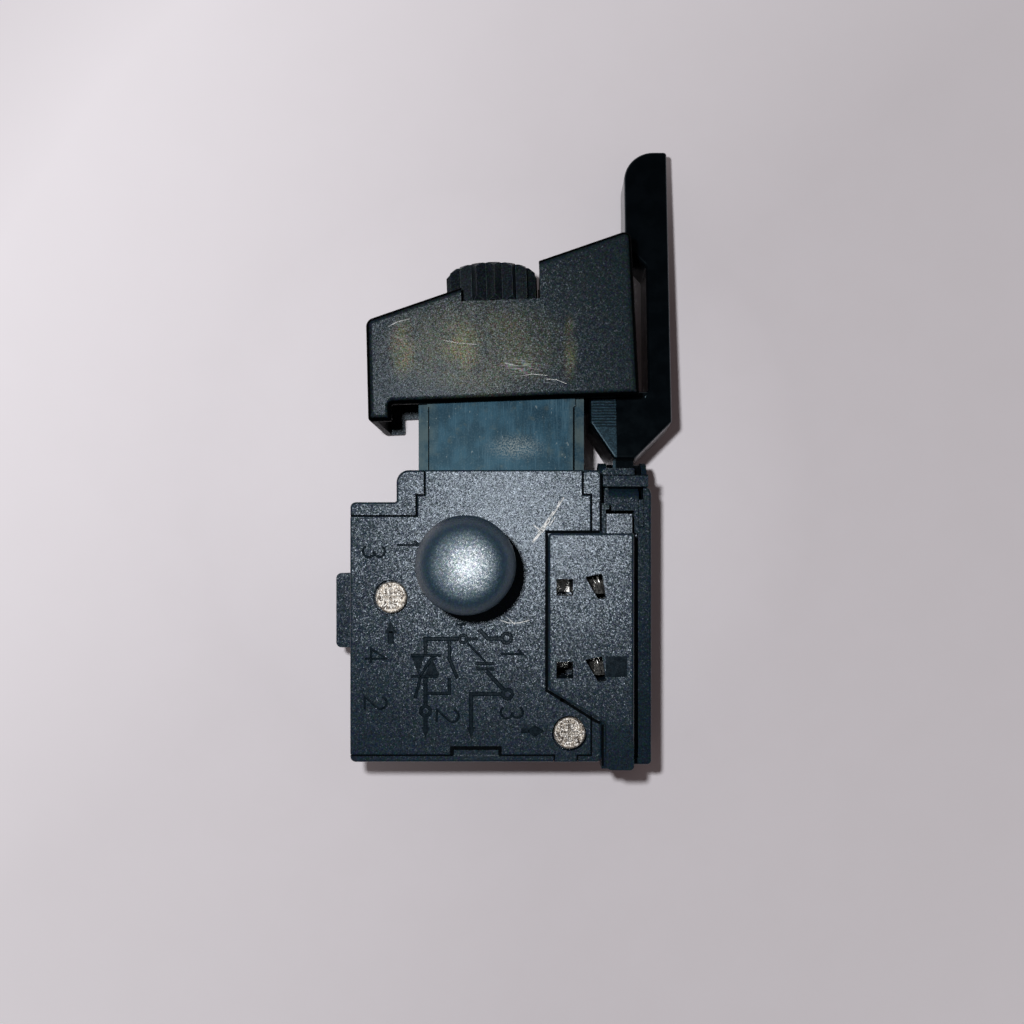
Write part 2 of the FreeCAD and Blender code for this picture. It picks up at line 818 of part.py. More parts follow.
def make_trigger_spring():
    start = spring_seat_y + spring_seat_thickness
    spring = coil(trigger_spring_radius, trigger_spring_wire, trigger_spring_turns,
                  spring_pocket_top - start)
    spring.rotate(V(0, 0, 0), V(1, 0, 0), -90)
    spring.translate(V(trigger_spring_x, start, middle_z))
    return spring


def lever_cheek(x, width):
    """A bearing cheek: round about the pivot, straight down into the unit."""
    cheek = rod(V(x, pivot_y, middle_z), pivot_radius + 0.2, width, V(1, 0, 0))
    foot = box(x, x + width, pivot_y - 3, pivot_y, middle_z - pivot_radius - 0.2,
               middle_z + pivot_radius + 0.2)
    return cheek.fuse(foot)


def make_unit():
    """The reversing unit's housing: a narrow tray with the lever's bearing at its top."""
    left, right, low = unit_left, unit_right, unit_bottom
    tray = prism([(left, low, 0.3), (right, low, 0.6), (right, unit_top_y, unit_round),
                  (left, unit_top_y, 0)], 0, unit_depth)
    tray = tray.makeFillet(edge_round, edges_at(tray, unit_depth))
    left_wall = box(left, left + unit_left_wall, low, left_wall_top, unit_depth - 1,
                    unit_left_height)
    tray = tray.fuse(left_wall)
    tray = tray.cut(box(left + unit_left_wall, right - unit_right_wall, low + unit_end_wall,
                        unit_top_y - unit_end_room, unit_floor, body_depth + 1))
    # Room for the lever's barrel between the cheeks
    inner_left = left + cheek_width
    inner_right = right - cheek_width
    tray = tray.cut(box(inner_left, inner_right, unit_top_y - barrel_room, unit_top_y + 1,
                        unit_floor, body_depth + 1))
    cheeks = [lever_cheek(left, cheek_width), lever_cheek(inner_right, cheek_width - cheek_inset)]
    bridge_left, bridge_right = left + bridge_left_inset, right - bridge_inset
    bridge_end = bridge_y + bridge_length
    bridge = box(bridge_left, bridge_right, bridge_y, bridge_end, bridge_bottom, bridge_top)
    bridge_legs = [box(x0, x1, bridge_y, bridge_end, middle_z, bridge_top)
                   for x0, x1 in ((bridge_left, inner_left), (inner_right, bridge_right))]
    # A lip on the bridge over the barrel, with a round corner
    lip_end = bridge_end + lip_length
    lip = prism([(bridge_left, bridge_y, 0), (left + lip_width, bridge_y, 0),
                 (left + lip_width, lip_end, 0.2), (bridge_left, lip_end, lip_corner)],
                bridge_bottom, bridge_bottom + lip_thickness)
    # A bar level with the right wall, rounded down under the bridge, and the wall's pad below it
    wall_x = right - unit_right_wall + 0.1
    bar = box(left + unit_left_wall - 0.1, wall_x, bar_y, bridge_y + bar_root, bar_bottom,
              unit_depth)
    crest = edges_at(bar, unit_depth, lambda edge: edge.BoundBox.YMin > bridge_y)
    bar = bar.makeFillet(bar_round, crest)
    pad = box(plate_right + pad_gap, wall_x, plate_top + side_gap, bar_y + 0.1, bar_bottom,
              unit_depth)
    tray = fused([tray, bridge, lip, bar, pad] + cheeks + bridge_legs)
    # The left wall is only a web beside the cover's tab
    tray = tray.cut(box(left + left_wall_web, left + unit_left_wall + 0.1, plate_top - 0.5, bar_y,
                        bar_bottom, body_depth))
    pin = rod(V(left - 1, pivot_y, middle_z), trunnion_radius + running_gap, unit_width + 2,
              V(1, 0, 0))
    tray = tray.cut(pin)
    tray = tray.cut(box(left - 1, left + unit_left_wall + 0.1, chamber_bottom, chamber_top,
                        window_floor, body_depth + 1))
    return tray.removeSplitter()


def release_window(y):
    """The wedge-shaped opening beside a wire hole, wider towards the top."""
    high = y + window_length / 2 + 0.3
    low = y - window_length / 2 + 0.1
    return [(window_x, high - 0.5, 0.2), (window_x + window_top_width, high, 0.2),
            (window_x + window_skew + window_low_width, low, 0.25),
            (window_x + window_skew, low - 0.1, 0.25)]


def make_unit_cover():
    top = front + plate_thickness
    plate = prism([(plate_left, plate_top, 0.6), (plate_left, plate_low_left, 1.2),
                   (tongue_left - 0.4, plate_low_right, 0.4), (tongue_left, tongue_start, 0.1),
                   (tongue_left + 0.1, unit_bottom, 0.9), (plate_right, unit_bottom, 0.6),
                   (plate_right, plate_top, 0.4)], front, top)
    plate = plate.makeFillet(plate_round, edges_at(plate, top))
    # The tongue falls away below the crease
    fall = Part.Face(Part.makePolygon([V(0, tongue_start, top), V(0, unit_bottom - 1, top + 1),
                                       V(0, unit_bottom - 1, top - tongue_fall),
                                       V(0, tongue_start, top)]))
    fall.translate(V(plate_left, 0, 0))
    plate = plate.cut(fall.extrude(V(unit_width + plate_right - plate_left, 0, 0)))
    inner_left = unit_left + unit_left_wall + side_gap
    inner_right = unit_right - unit_right_wall - side_gap
    low = unit_bottom + unit_end_wall + side_gap
    block = box(inner_left, plate_right - 0.1, low, plate_top, flange_z, front)
    flange = box(inner_left, inner_right, low, plate_top - side_gap, flange_z,
                 flange_z + flange_thickness)
    tab = box(inner_left - tab_c_overlap, plate_right - 0.15, plate_top - 0.4,
              tab_c_end, front - 3, front - tab_c_sink)
    guide = box(chamber_left + side_gap, inner_left + 0.1, chamber_bottom + side_gap,
                chamber_top - side_gap, guide_bottom, front)
    cover = fused([plate, block, flange, tab, guide])
    for y in wire_rows:
        half = wire_hole / 2
        cover = cover.cut(box(wire_hole_x - half, wire_hole_x + half, y - half, y + half,
                              0, top + 1))
        cover = cover.cut(prism(release_window(y), 0, top + 1))
        cover = cover.cut(box(wire_hole_x + half + 0.2, inner_left + 0.4, y - blade_room_half,
                              y + blade_room_half, 0, front - 0.9))
    return cover.removeSplitter()


def lever_outline():
    arm_left = lever_right - arm_width
    return [
        (neck_left, neck_y, 0), (neck_left + neck_width, neck_y, 0.6),
        (lever_right, block_low_right, 0.5), (lever_right, tip_y, tip_corner),
        (paddle_left, tip_y, tip_round), (paddle_left, paddle_low, 0.8),
        (arm_left, paddle_low - paddle_slant, 1.0), (arm_left, block_top, 0.4),
        (block_left, block_top, 0.5), (block_left, block_low_left, 0.4),
    ]


def make_lever():
    """Paddle, arm and block in one moulding, thinner towards the tip, on a barrel with trunnions."""
    blank = prism(lever_outline(), 0, body_depth)
    taper = (lever_half_depth - tip_half_depth) / (tip_y - block_top)
    neck_half = lever_half_depth + (block_top - neck_y) * taper * 0.5
    half = [V(0, neck_y - 1, middle_z - neck_half), V(0, tip_y + 1, middle_z - tip_half_depth),
            V(0, tip_y + 1, middle_z + tip_half_depth), V(0, neck_y - 1, middle_z + neck_half)]
    wedge = Part.Face(Part.makePolygon(half + half[:1]))
    wedge.translate(V(block_left - 1, 0, 0))
    lever = blank.common(wedge.extrude(V(lever_right - block_left + 2, 0, 0)))
    sides = [e for e in lever.Edges
             if abs(e.BoundBox.ZMin + e.BoundBox.ZMax - body_depth) > 2
             and e.BoundBox.YMin > block_top + 1.5]
    lever = lever.makeFillet(lever_edge, sides)
    # A shallow web on both faces between block and arm
    for z in (middle_z + neck_half - 2 * web_sink, 0):
        web = prism([(block_left + web_inset, block_top - web_edge, 0.2),
                     (block_left + web_inset, block_low_left - web_overrun, 0.2),
                     (lever_right - arm_width - web_gap, block_top - web_height, 0.2),
                     (lever_right - arm_width - web_gap, block_top - web_edge, 0.2)],
                    z, z + middle_z - neck_half + 2 * web_sink)
        lever = lever.cut(web)
    left = unit_left + cheek_width + side_gap
    right = unit_right - cheek_width - side_gap
    barrel = rod(V(left, pivot_y, middle_z), pivot_radius, right - left, V(1, 0, 0))
    trunnions = rod(V(left - trunnion_length, pivot_y, middle_z), trunnion_radius,
                    right - left + 2 * trunnion_length, V(1, 0, 0))
    neck = box(neck_left, neck_left + neck_width, pivot_y, neck_y + 0.5,
               middle_z - pivot_radius, middle_z + pivot_radius)
    centre = neck_left + neck_width / 2
    finger = box(centre - finger_half_width, centre + finger_half_width,
                 pivot_y - finger_length, pivot_y, middle_z - finger_half_depth, middle_z + finger_half_depth)
    bead = rod(V(centre - finger_half_width, pivot_y - finger_length, middle_z), finger_radius,
               2 * finger_half_width, V(1, 0, 0))
    return tilted(fused([lever, barrel, trunnions, neck, finger, bead]))


def make_slide():
    """The carrier that the lever's finger moves up and down, drawn in its raised place."""
    centre = middle_z + half_swing
    right = unit_right - unit_right_wall - side_gap
    left = right - slide_thickness
    rail = box(left, right, slide_low, slide_top, centre - slide_half_depth,
               centre + slide_half_depth)
    yoke = box(yoke_left, right, slide_top - yoke_length, slide_top, centre - slide_half_depth,
               centre + slide_half_depth)
    slot_half = finger_radius + 2 * running_gap
    slot = box(yoke_left - 1, right + 1, pivot_y - finger_length - finger_radius - 0.3,
               slide_top + 1, centre - slot_half, centre + slot_half)
    return fused([rail, yoke]).cut(slot).removeSplitter()


def make_bridge_bar(y):
    """A copper bar across the slide that joins two fixed contacts."""
    centre = middle_z + half_swing
    right = unit_right - unit_right_wall - side_gap - slide_thickness
    left = unit_left + unit_left_wall + 0.2
    return box(left, right, y - bridge_bar_half, y + bridge_bar_half,
               centre - bridge_bar_thickness / 2, centre + bridge_bar_thickness / 2)


def across(x, z):
    """The plane seen from the trigger end: x to the right, z up."""
    return V(x, 0, z)


def along(y, z):
    """The plane seen from the right: y and z."""
    return V(0, y, z)


def make_push_in_terminal(y):
    """A strip with a spring blade beside the wire hole, ending as a fixed contact."""
    leg_z = middle_z + half_swing + bridge_bar_thickness / 2 + contact_gap + contact_metal / 2
    wall_x = unit_left + cage_inset
    foot_z = window_floor + contact_metal / 2
    cage = [(wire_hole_x - cage_half, guide_bottom - cage_low), (wire_hole_x - cage_half, foot_z),
            (wall_x, foot_z), (wall_x, front - blade_high),
            (window_x + blade_rise, front - blade_rise),
            (wire_hole_x + blade_reach, leg_z - blade_drop)]
    leg = [(wall_x, leg_z), (unit_left + contact_reach, leg_z)]
    centre = V(0, y, 0)
    return fused([strip(cage, contact_metal, centre, contact_half, across),
                  strip(leg, contact_metal, centre, contact_half, across)])


def make_motor_contact(y):
    """The lower fixed contact, on a foot that stands on the unit's floor."""
    top_z = middle_z - half_swing - bridge_bar_thickness / 2 - contact_gap - contact_metal / 2
    post_x = unit_left + unit_left_wall + contact_inset
    foot_z = unit_floor + contact_metal / 2
    path = [(unit_left + contact_reach, top_z), (post_x, top_z), (post_x, foot_z),
            (unit_left + contact_reach - contact_metal, foot_z)]
    return strip(path, contact_metal, V(0, y, 0), contact_half, across)


def make_board():
    board = prism([(board_left, board_low, 0.5), (board_right, board_low, 0.5),
                   (board_right, board_high, 0.5), (board_notch_x, board_high, 0.5),
                   (board_notch_x, board_notch_y, 0.5), (board_left, board_notch_y, 0.5)],
                  board_z, board_top)
    return board


def make_triac():
    x, y = board_right - triac_inset, triac_low
    w, h, d = triac_size
    body = prism([(x, y, 0.3), (x + w, y, 0.3), (x + w, y + h, 0.3), (x, y + h, 0.3)],
                 board_top, board_top + d)
    legs = [box(x + w / 2 + k - 0.35, x + w / 2 + k + 0.35, y - 2.5, y + 0.1, board_top,
                board_top + 0.5) for k in (-2.54, 0, 2.54)]
    return fused([body] + legs)


def make_heat_sink():
    x, y = board_right - triac_inset - sink_overlap, sink_low
    w, h, t = sink_size
    z = board_top + triac_size[2]
    plate = prism([(x, y, 0.4), (x + w, y, 0.4), (x + w, y + h, 0.4), (x, y + h, 0.4)], z, z + t)
    ribs = [box(x, x + w, y + k, y + k + 0.8, z + t, z + t + 1.0) for k in (2.0, 5.0, 8.0)]
    return fused([plate] + ribs)


def make_capacitor():
    x, y = board_left + capacitor_margin[0], board_low + capacitor_margin[1]
    w, h, d = capacitor_size
    block = prism([(x, y, 0.6), (x + w, y, 0.6), (x + w, y + h, 0.6), (x, y + h, 0.6)],
                  board_top, board_top + d)
    return block.makeFillet(0.4, edges_at(block, board_top + d))


def make_resistor(x, y):
    z = board_top + resistor_radius
    ends = [rod(V(x, y + k, z), resistor_radius, 1.2, V(0, 1, 0))
            for k in (0, resistor_length - 1.2)]
    core = rod(V(x, y, z), 0.8 * resistor_radius, resistor_length, V(0, 1, 0))
    return fused([core] + ends)


def make_wiper():
    """The leaf under the plunger's tail that rides on the board's track."""
    start = tail_bottom - contact_metal / 4 - 0.04
    rest = board_top + contact_gap + contact_metal / 4
    path = [(tail_end + wiper_root, start), (tail_end + wiper_bend, start),
            (tail_end + wiper_touch, rest), (tail_end + wiper_tip, rest + wiper_lift)]
    centre = V(plunger_left + tail_width / 2, 0, 0)
    return strip(path, contact_metal / 2, centre, 0.7, along)


def make_contact_slider():
    """A clip round the end of the plunger's tail that closes the main contact."""
    left = plunger_left - slider_metal
    right = plunger_left + tail_width + slider_metal
    clip = box(left, right, tail_end - slider_metal, tail_end + slider_length,
               tail_bottom + slider_inset, tail_bottom + tail_depth - slider_inset)
    return clip.cut(box(plunger_left, plunger_left + tail_width, tail_end,
                        tail_end + 2 * slider_length, 0, front))


def make_fixed_strip(x):
    """A blade that stands on the board beside the slider's path, with a turned foot."""
    blade = box(x, x + contact_metal, strip_low, strip_high, board_top, board_top + strip_height)
    lead_in = box(x, x + contact_metal, strip_high, strip_high + 0.8, board_top + 1.6,
                  board_top + strip_height)
    return fused([blade, lead_in])


def make_line_terminal(z):
    """A clamp behind a wire entry in the bottom wall."""
    low = wall + contact_metal / 2 + contact_gap
    high = low + line_terminal_length
    half = line_entry / 2
    path = [(low, z + half), (high, z + half), (high, z - half), (low + contact_half, z - half)]
    blade = [(high - contact_half, z + half), (low + line_blade_low, z - line_blade_drop)]
    centre = V(line_entry_x, 0, 0)
    return fused([strip(path, contact_metal, centre, line_terminal_half, along),
                  strip(blade, contact_metal / 2, centre, contact_half, along)])


def make_detent():
    """A leaf on the unit's floor that holds the lever's finger in either place."""
    y = pivot_y - 0.62 * finger_length
    z = unit_floor + detent_lift
    path = [(y - detent_length, z), (y - detent_half, z), (y, z + detent_rise),
            (y + detent_half, z)]
    centre = V(neck_left + neck_width / 2, 0, 0)
    return strip(path, detent_metal, centre, detent_half, along)


left_strip_x = plunger_left - slider_metal - contact_gap - contact_metal
right_strip_x = plunger_left + tail_width + slider_metal + contact_gap

parts = {
    "base_housing": [make_base()],
    "front_cover": [make_cover()],
    "housing_screws": [make_screw(x, y) for x, y in screw_places],
    "trigger": [make_trigger()],
    "plunger": [make_plunger()],
    "speed_dial": [make_dial()],
    "dial_screw": [make_dial_screw()],
    "stop_nut": [make_nut()],
    "trigger_spring": [make_trigger_spring()],
    "lock_button": [make_button()],
    "lock_spring": [make_lock_spring()],
    "reversing_lever": [make_lever()],
    "reversing_housing": [make_unit()],
    "reversing_cover": [make_unit_cover()],
    "reversing_slide": [make_slide()],
    "reversing_bridges": [make_bridge_bar(y) for y in wire_rows],
    "push_in_terminals": [make_push_in_terminal(y) for y in wire_rows],
    "motor_contacts": [make_motor_contact(y) for y in wire_rows],
    "detent_spring": [make_detent()],
    "circuit_board": [make_board()],
    "triac": [make_triac()],
    "heat_sink": [make_heat_sink()],
    "capacitor": [make_capacitor()],
    "resistors": [make_resistor(board_right - inset, resistor_low)
                  for inset in resistor_insets],
    "wiper": [make_wiper()],
    "contact_slider": [make_contact_slider()],
    "fixed_contacts": [make_fixed_strip(x) for x in (left_strip_x, right_strip_x)],
    "line_terminals": [make_line_terminal(z) for z in line_entry_rows],
}

os.makedirs("parts", exist_ok=True)
for name, solids in parts.items():
    placed = []
    for solid in solids:
        solid = solid.Solids[0] if len(solid.Solids) == 1 else solid
        solid = solid.copy()
        solid.translate(shift)
        placed.append(solid)
    shape = placed[0] if len(placed) == 1 else Part.Compound(placed)
    shape.exportStep("parts/" + name + ".step")
print("shift", shift)
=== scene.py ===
import math

import bmesh
import bpy
from mathutils import Matrix, Vector


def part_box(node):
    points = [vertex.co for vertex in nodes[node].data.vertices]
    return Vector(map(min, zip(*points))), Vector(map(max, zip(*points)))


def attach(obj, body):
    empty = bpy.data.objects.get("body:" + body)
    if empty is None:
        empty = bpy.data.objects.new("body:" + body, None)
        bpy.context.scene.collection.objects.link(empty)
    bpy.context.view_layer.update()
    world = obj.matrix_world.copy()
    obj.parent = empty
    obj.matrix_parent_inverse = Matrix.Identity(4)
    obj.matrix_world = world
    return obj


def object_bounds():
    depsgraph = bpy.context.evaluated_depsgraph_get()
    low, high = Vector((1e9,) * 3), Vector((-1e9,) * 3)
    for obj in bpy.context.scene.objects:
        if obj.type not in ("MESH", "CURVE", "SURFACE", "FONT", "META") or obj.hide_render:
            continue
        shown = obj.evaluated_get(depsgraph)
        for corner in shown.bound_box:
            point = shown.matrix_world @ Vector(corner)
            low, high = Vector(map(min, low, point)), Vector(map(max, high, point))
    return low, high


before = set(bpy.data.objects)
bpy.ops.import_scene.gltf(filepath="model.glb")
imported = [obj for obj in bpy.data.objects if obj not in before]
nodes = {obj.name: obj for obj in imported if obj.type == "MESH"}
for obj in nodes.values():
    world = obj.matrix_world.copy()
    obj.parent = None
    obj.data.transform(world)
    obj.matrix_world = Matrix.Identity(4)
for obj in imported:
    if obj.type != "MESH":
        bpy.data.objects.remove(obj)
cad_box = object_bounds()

MM = 0.001


def low(node):
    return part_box(node)[0]


# Places, worked out from the parts in model.glb
cover_low, cover_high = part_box("front_cover")
face_z = cover_high.z
rib_reach = 3.3 * MM
body_left = low("base_housing").x + rib_reach
body_bottom = cover_low.y
button_low, button_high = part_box("lock_button")
button_x = (button_low.x + button_high.x) / 2
button_y = (button_low.y + button_high.y) / 2


def on_body(u, v, z=17.0):
    """A point from millimetres right of and above the body's lower left corner."""
    return Vector((body_left + u * MM, body_bottom + v * MM, z * MM))


# Small builders for shader nodes

class Shader:
    """A material with short calls for the nodes that the finishes share."""

    def __init__(self, name):
        self.material = bpy.data.materials.new(name)
        self.material.use_nodes = True
        self.tree = self.material.node_tree
        self.bsdf = self.tree.nodes["Principled BSDF"]
        self.place = self.tree.nodes.new("ShaderNodeTexCoord").outputs["Object"]

    def link(self, a, b):
        self.tree.links.new(a, b)

    def moved(self, offset=(0, 0, 0), scale=(1, 1, 1), turn=0.0):
        """The object's coordinates, shifted, turned about z and stretched."""
        node = self.tree.nodes.new("ShaderNodeMapping")
        node.vector_type = "TEXTURE"
        node.inputs["Location"].default_value = offset
        node.inputs["Rotation"].default_value = (0, 0, turn)
        node.inputs["Scale"].default_value = scale
        self.link(self.place, node.inputs["Vector"])
        return node.outputs["Vector"]

    def noise(self, size, detail=2.0, rough=0.5, vector=None):
        """Noise whose blobs are about size metres across."""
        node = self.tree.nodes.new("ShaderNodeTexNoise")
        node.inputs["Scale"].default_value = 1 / size
        node.inputs["Detail"].default_value = detail
        node.inputs["Roughness"].default_value = rough
        self.link(vector or self.place, node.inputs["Vector"])
        return node.outputs["Fac"]

    def cells(self, size, feature="F1", vector=None):
        """Distance to the nearest of scattered points, for speckle."""
        node = self.tree.nodes.new("ShaderNodeTexVoronoi")
        node.feature = feature
        node.inputs["Scale"].default_value = 1 / size
        self.link(vector or self.place, node.inputs["Vector"])
        return node.outputs["Distance"]

    def ramp(self, value, low, high, to_low=0.0, to_high=1.0):
        """Maps a value from low..high to another range, smooth and clamped."""
        node = self.tree.nodes.new("ShaderNodeMapRange")
        node.interpolation_type = "SMOOTHSTEP"
        for name, number in (("From Min", low), ("From Max", high),
                             ("To Min", to_low), ("To Max", to_high)):
            node.inputs[name].default_value = number
        self.link(value, node.inputs["Value"])
        return node.outputs["Result"]

    def maths(self, operation, a, b=0.0):
        node = self.tree.nodes.new("ShaderNodeMath")
        node.operation = operation
        for socket, value in zip(node.inputs, (a, b)):
            if isinstance(value, (int, float)):
                socket.default_value = value
            else:
                self.link(value, socket)
        return node.outputs["Value"]

    def mix(self, factor, a, b):
        """Mixes two colours, each a tuple or a socket."""
        node = self.tree.nodes.new("ShaderNodeMix")
        node.data_type = "RGBA"
        for socket, value in zip((node.inputs[0], node.inputs[6], node.inputs[7]), (factor, a, b)):
            if isinstance(value, tuple):
                socket.default_value = (*value, 1)
            elif isinstance(value, (int, float)):
                socket.default_value = value
            else:
                self.link(value, socket)
        return node.outputs[2]

    def vector(self, operation, a, b=None):
        """Vector arithmetic between sockets or fixed triples."""
        node = self.tree.nodes.new("ShaderNodeVectorMath")
        node.operation = operation
        sockets = (node.inputs[0], node.inputs["Scale"] if operation == "SCALE" else node.inputs[1])
        for socket, value in zip(sockets, (a, b)):
            if isinstance(value, tuple):
                socket.default_value = value
            elif value is not None:
                self.link(value, socket)
        return node.outputs["Vector"]

    def axes(self):
        node = self.tree.nodes.new("ShaderNodeSeparateXYZ")
        self.link(self.place, node.inputs["Vector"])
        return node.outputs

    def patch(self, centre, radius, soft=0.5):
        """1 near a point in plan, fading to 0 at radius metres; stretched by giving two radii."""
        rx, ry = radius
        vector = self.moved((centre[0], centre[1], 0), (rx, ry, 10.0))
        node = self.tree.nodes.new("ShaderNodeVectorMath")
        node.operation = "LENGTH"
        self.link(vector, node.inputs[0])
        return self.ramp(node.outputs["Value"], soft, 1.0, 1.0, 0.0)

    def level(self, low, high, floor):
        """1 on faces that look up, down to floor on rounded edges and walls."""
        split = self.tree.nodes.new("ShaderNodeSeparateXYZ")
        self.link(self.tree.nodes.new("ShaderNodeNewGeometry").outputs["Normal"], split.inputs["Vector"])
        return self.ramp(split.outputs["Z"], low, high, floor, 1.0)

    def edge_glint_and_wear(self, width):
        """1 on convex edges, 0 on flats, from the bevelled normal."""
        bevel = self.tree.nodes.new("ShaderNodeBevel")
        bevel.samples = 4
        bevel.inputs["Radius"].default_value = width
        geometry = self.tree.nodes.new("ShaderNodeNewGeometry")
        dot = self.tree.nodes.new("ShaderNodeVectorMath")
        dot.operation = "DOT_PRODUCT"
        self.link(bevel.outputs["Normal"], dot.inputs[0])
        self.link(geometry.outputs["Normal"], dot.inputs[1])
        return self.ramp(dot.outputs["Value"], 0.93, 0.995, 1.0, 0.0)

    def bump(self, height, strength, distance, after=None):
        node = self.tree.nodes.new("ShaderNodeBump")
        node.inputs["Strength"].default_value = strength
        node.inputs["Distance"].default_value = distance
        self.link(height, node.inputs["Height"])
        if after is not None:
            self.link(after, node.inputs["Normal"])
        return node.outputs["Normal"]

    def finish(self, colour, roughness, normal=None, metallic=0.0, specular=0.5, gloss_tint=None):
        for name, value in (("Base Color", colour), ("Roughness", roughness)):
            if isinstance(value, tuple):
                self.bsdf.inputs[name].default_value = (*value, 1)
            elif isinstance(value, (int, float)):
                self.bsdf.inputs[name].default_value = value
            else:
                self.link(value, self.bsdf.inputs[name])
        self.bsdf.inputs["Metallic"].default_value = metallic
        if not self.bsdf.inputs["Specular IOR Level"].is_linked:
            self.bsdf.inputs["Specular IOR Level"].default_value = specular
        if gloss_tint is not None:
            self.bsdf.inputs["Specular Tint"].default_value = (*gloss_tint, 1)
        if normal is not None:
            self.link(normal, self.bsdf.inputs["Normal"])
        return self.material


def grain_normal(s, size=0.34 * MM, strength=1.0, depth=0.045 * MM):
    """Bump of a spark-eroded mould: fine pits."""
    return s.bump(s.noise(size, 1.0, 0.5), strength, depth)


def facets(s, tilt=0.15, lean=(-0.045, -0.008, 0.0), sizes=(0.09 * MM, 0.16 * MM), soft=0.0):
    """The normal of a sparkling grain: small facets, each tilted its own way, on a face that leans."""
    if soft:
        blend = s.tree.nodes.new("ShaderNodeBevel")
        blend.samples = 8
        blend.inputs["Radius"].default_value = soft
        normal = blend.outputs["Normal"]
    else:
        normal = s.tree.nodes.new("ShaderNodeNewGeometry").outputs["Normal"]
    steps = [lean]
    for size in sizes:
        cell = s.tree.nodes.new("ShaderNodeTexVoronoi")
        cell.inputs["Scale"].default_value = 1 / size
        s.link(s.place, cell.inputs["Vector"])
        centred = s.vector("SUBTRACT", cell.outputs["Color"], (0.5, 0.5, 0.5))
        steps.append(s.vector("MULTIPLY", centred, (tilt, tilt, tilt)))
    for step in steps:
        normal = s.vector("ADD", normal, step)
    return s.vector("NORMALIZE", normal)


def tinted(s, colour, amount=0.35, size=0.24 * MM):
    """A colour whose grains differ a little in hue and depth."""
    cell = s.tree.nodes.new("ShaderNodeTexVoronoi")
    cell.inputs["Scale"].default_value = 1 / size
    s.link(s.place, cell.inputs["Vector"])
    spread = s.vector("MULTIPLY", s.vector("SUBTRACT", cell.outputs["Color"], (0.5, 0.5, 0.5)),
                      (2 * amount, 2 * amount, 2 * amount))
    return s.vector("MULTIPLY", colour, s.vector("ADD", spread, (1.0, 1.0, 1.0)))


def housing_plastic(name, seed, lean=-0.045, gloss=0.38,
                    base=(0.0060, 0.0130, 0.0205), pale=(0.013, 0.027, 0.041)):
    """Grained dark teal plastic that sparkles under the lamp."""
    s = Shader(name)
    shifted = s.moved((seed, seed * 0.37, 0))
    tone = s.noise(5 * MM, 4.0, 0.6, shifted)
    speck = s.noise(0.20 * MM, 2.0, 0.7, shifted)
    colour = s.mix(s.ramp(speck, 0.40, 0.64), base, pale)
    colour = s.mix(s.ramp(tone, 0.40, 0.70, 0.0, 0.40), colour, (0.006, 0.012, 0.018))
    rough = s.ramp(s.noise(0.5 * MM, 2.0, 0.6, shifted), 0.3, 0.7, 0.32, 0.27)
    return s.finish(tinted(s, colour), rough, facets(s, 0.17, (lean, -0.008, 0.0)), 0.0, gloss, grain_tint)


def painted_gap_shade():
    """Painted shade: a near-black colour that stands for the shade inside a narrow gap."""
    s = Shader("painted_gap_shade")
    tone = s.noise(0.4 * MM, 2.0, 0.6)
    return s.finish(s.mix(s.ramp(tone, 0.3, 0.7), (0.0008, 0.0014, 0.002), (0.002, 0.0035, 0.005)), 0.9,
                    None, 0.0, 0.05)


def marking_plastic():
    """The polished faces of what is moulded proud of the grain; their darker colour paints the shade these
    smooth faces show away from the lamp's sheen.
    """
    s = Shader("marking_smooth")
    tone = s.noise(0.5 * MM, 2.0, 0.6)
    colour = s.mix(s.ramp(tone, 0.35, 0.65), (0.0030, 0.0065, 0.010), (0.007, 0.014, 0.020))
    return s.finish(colour, 0.27, facets(s, 0.07), 0.0, 0.14, grain_tint)


def scratch_pale():
    s = Shader("scratch_pale")
    broken = s.noise(0.35 * MM, 2.0, 0.6)
    return s.finish(s.mix(s.ramp(broken, 0.35, 0.6), (0.30, 0.33, 0.34), (0.80, 0.82, 0.82)), 0.6,
                    grain_normal(s, 0.2 * MM))


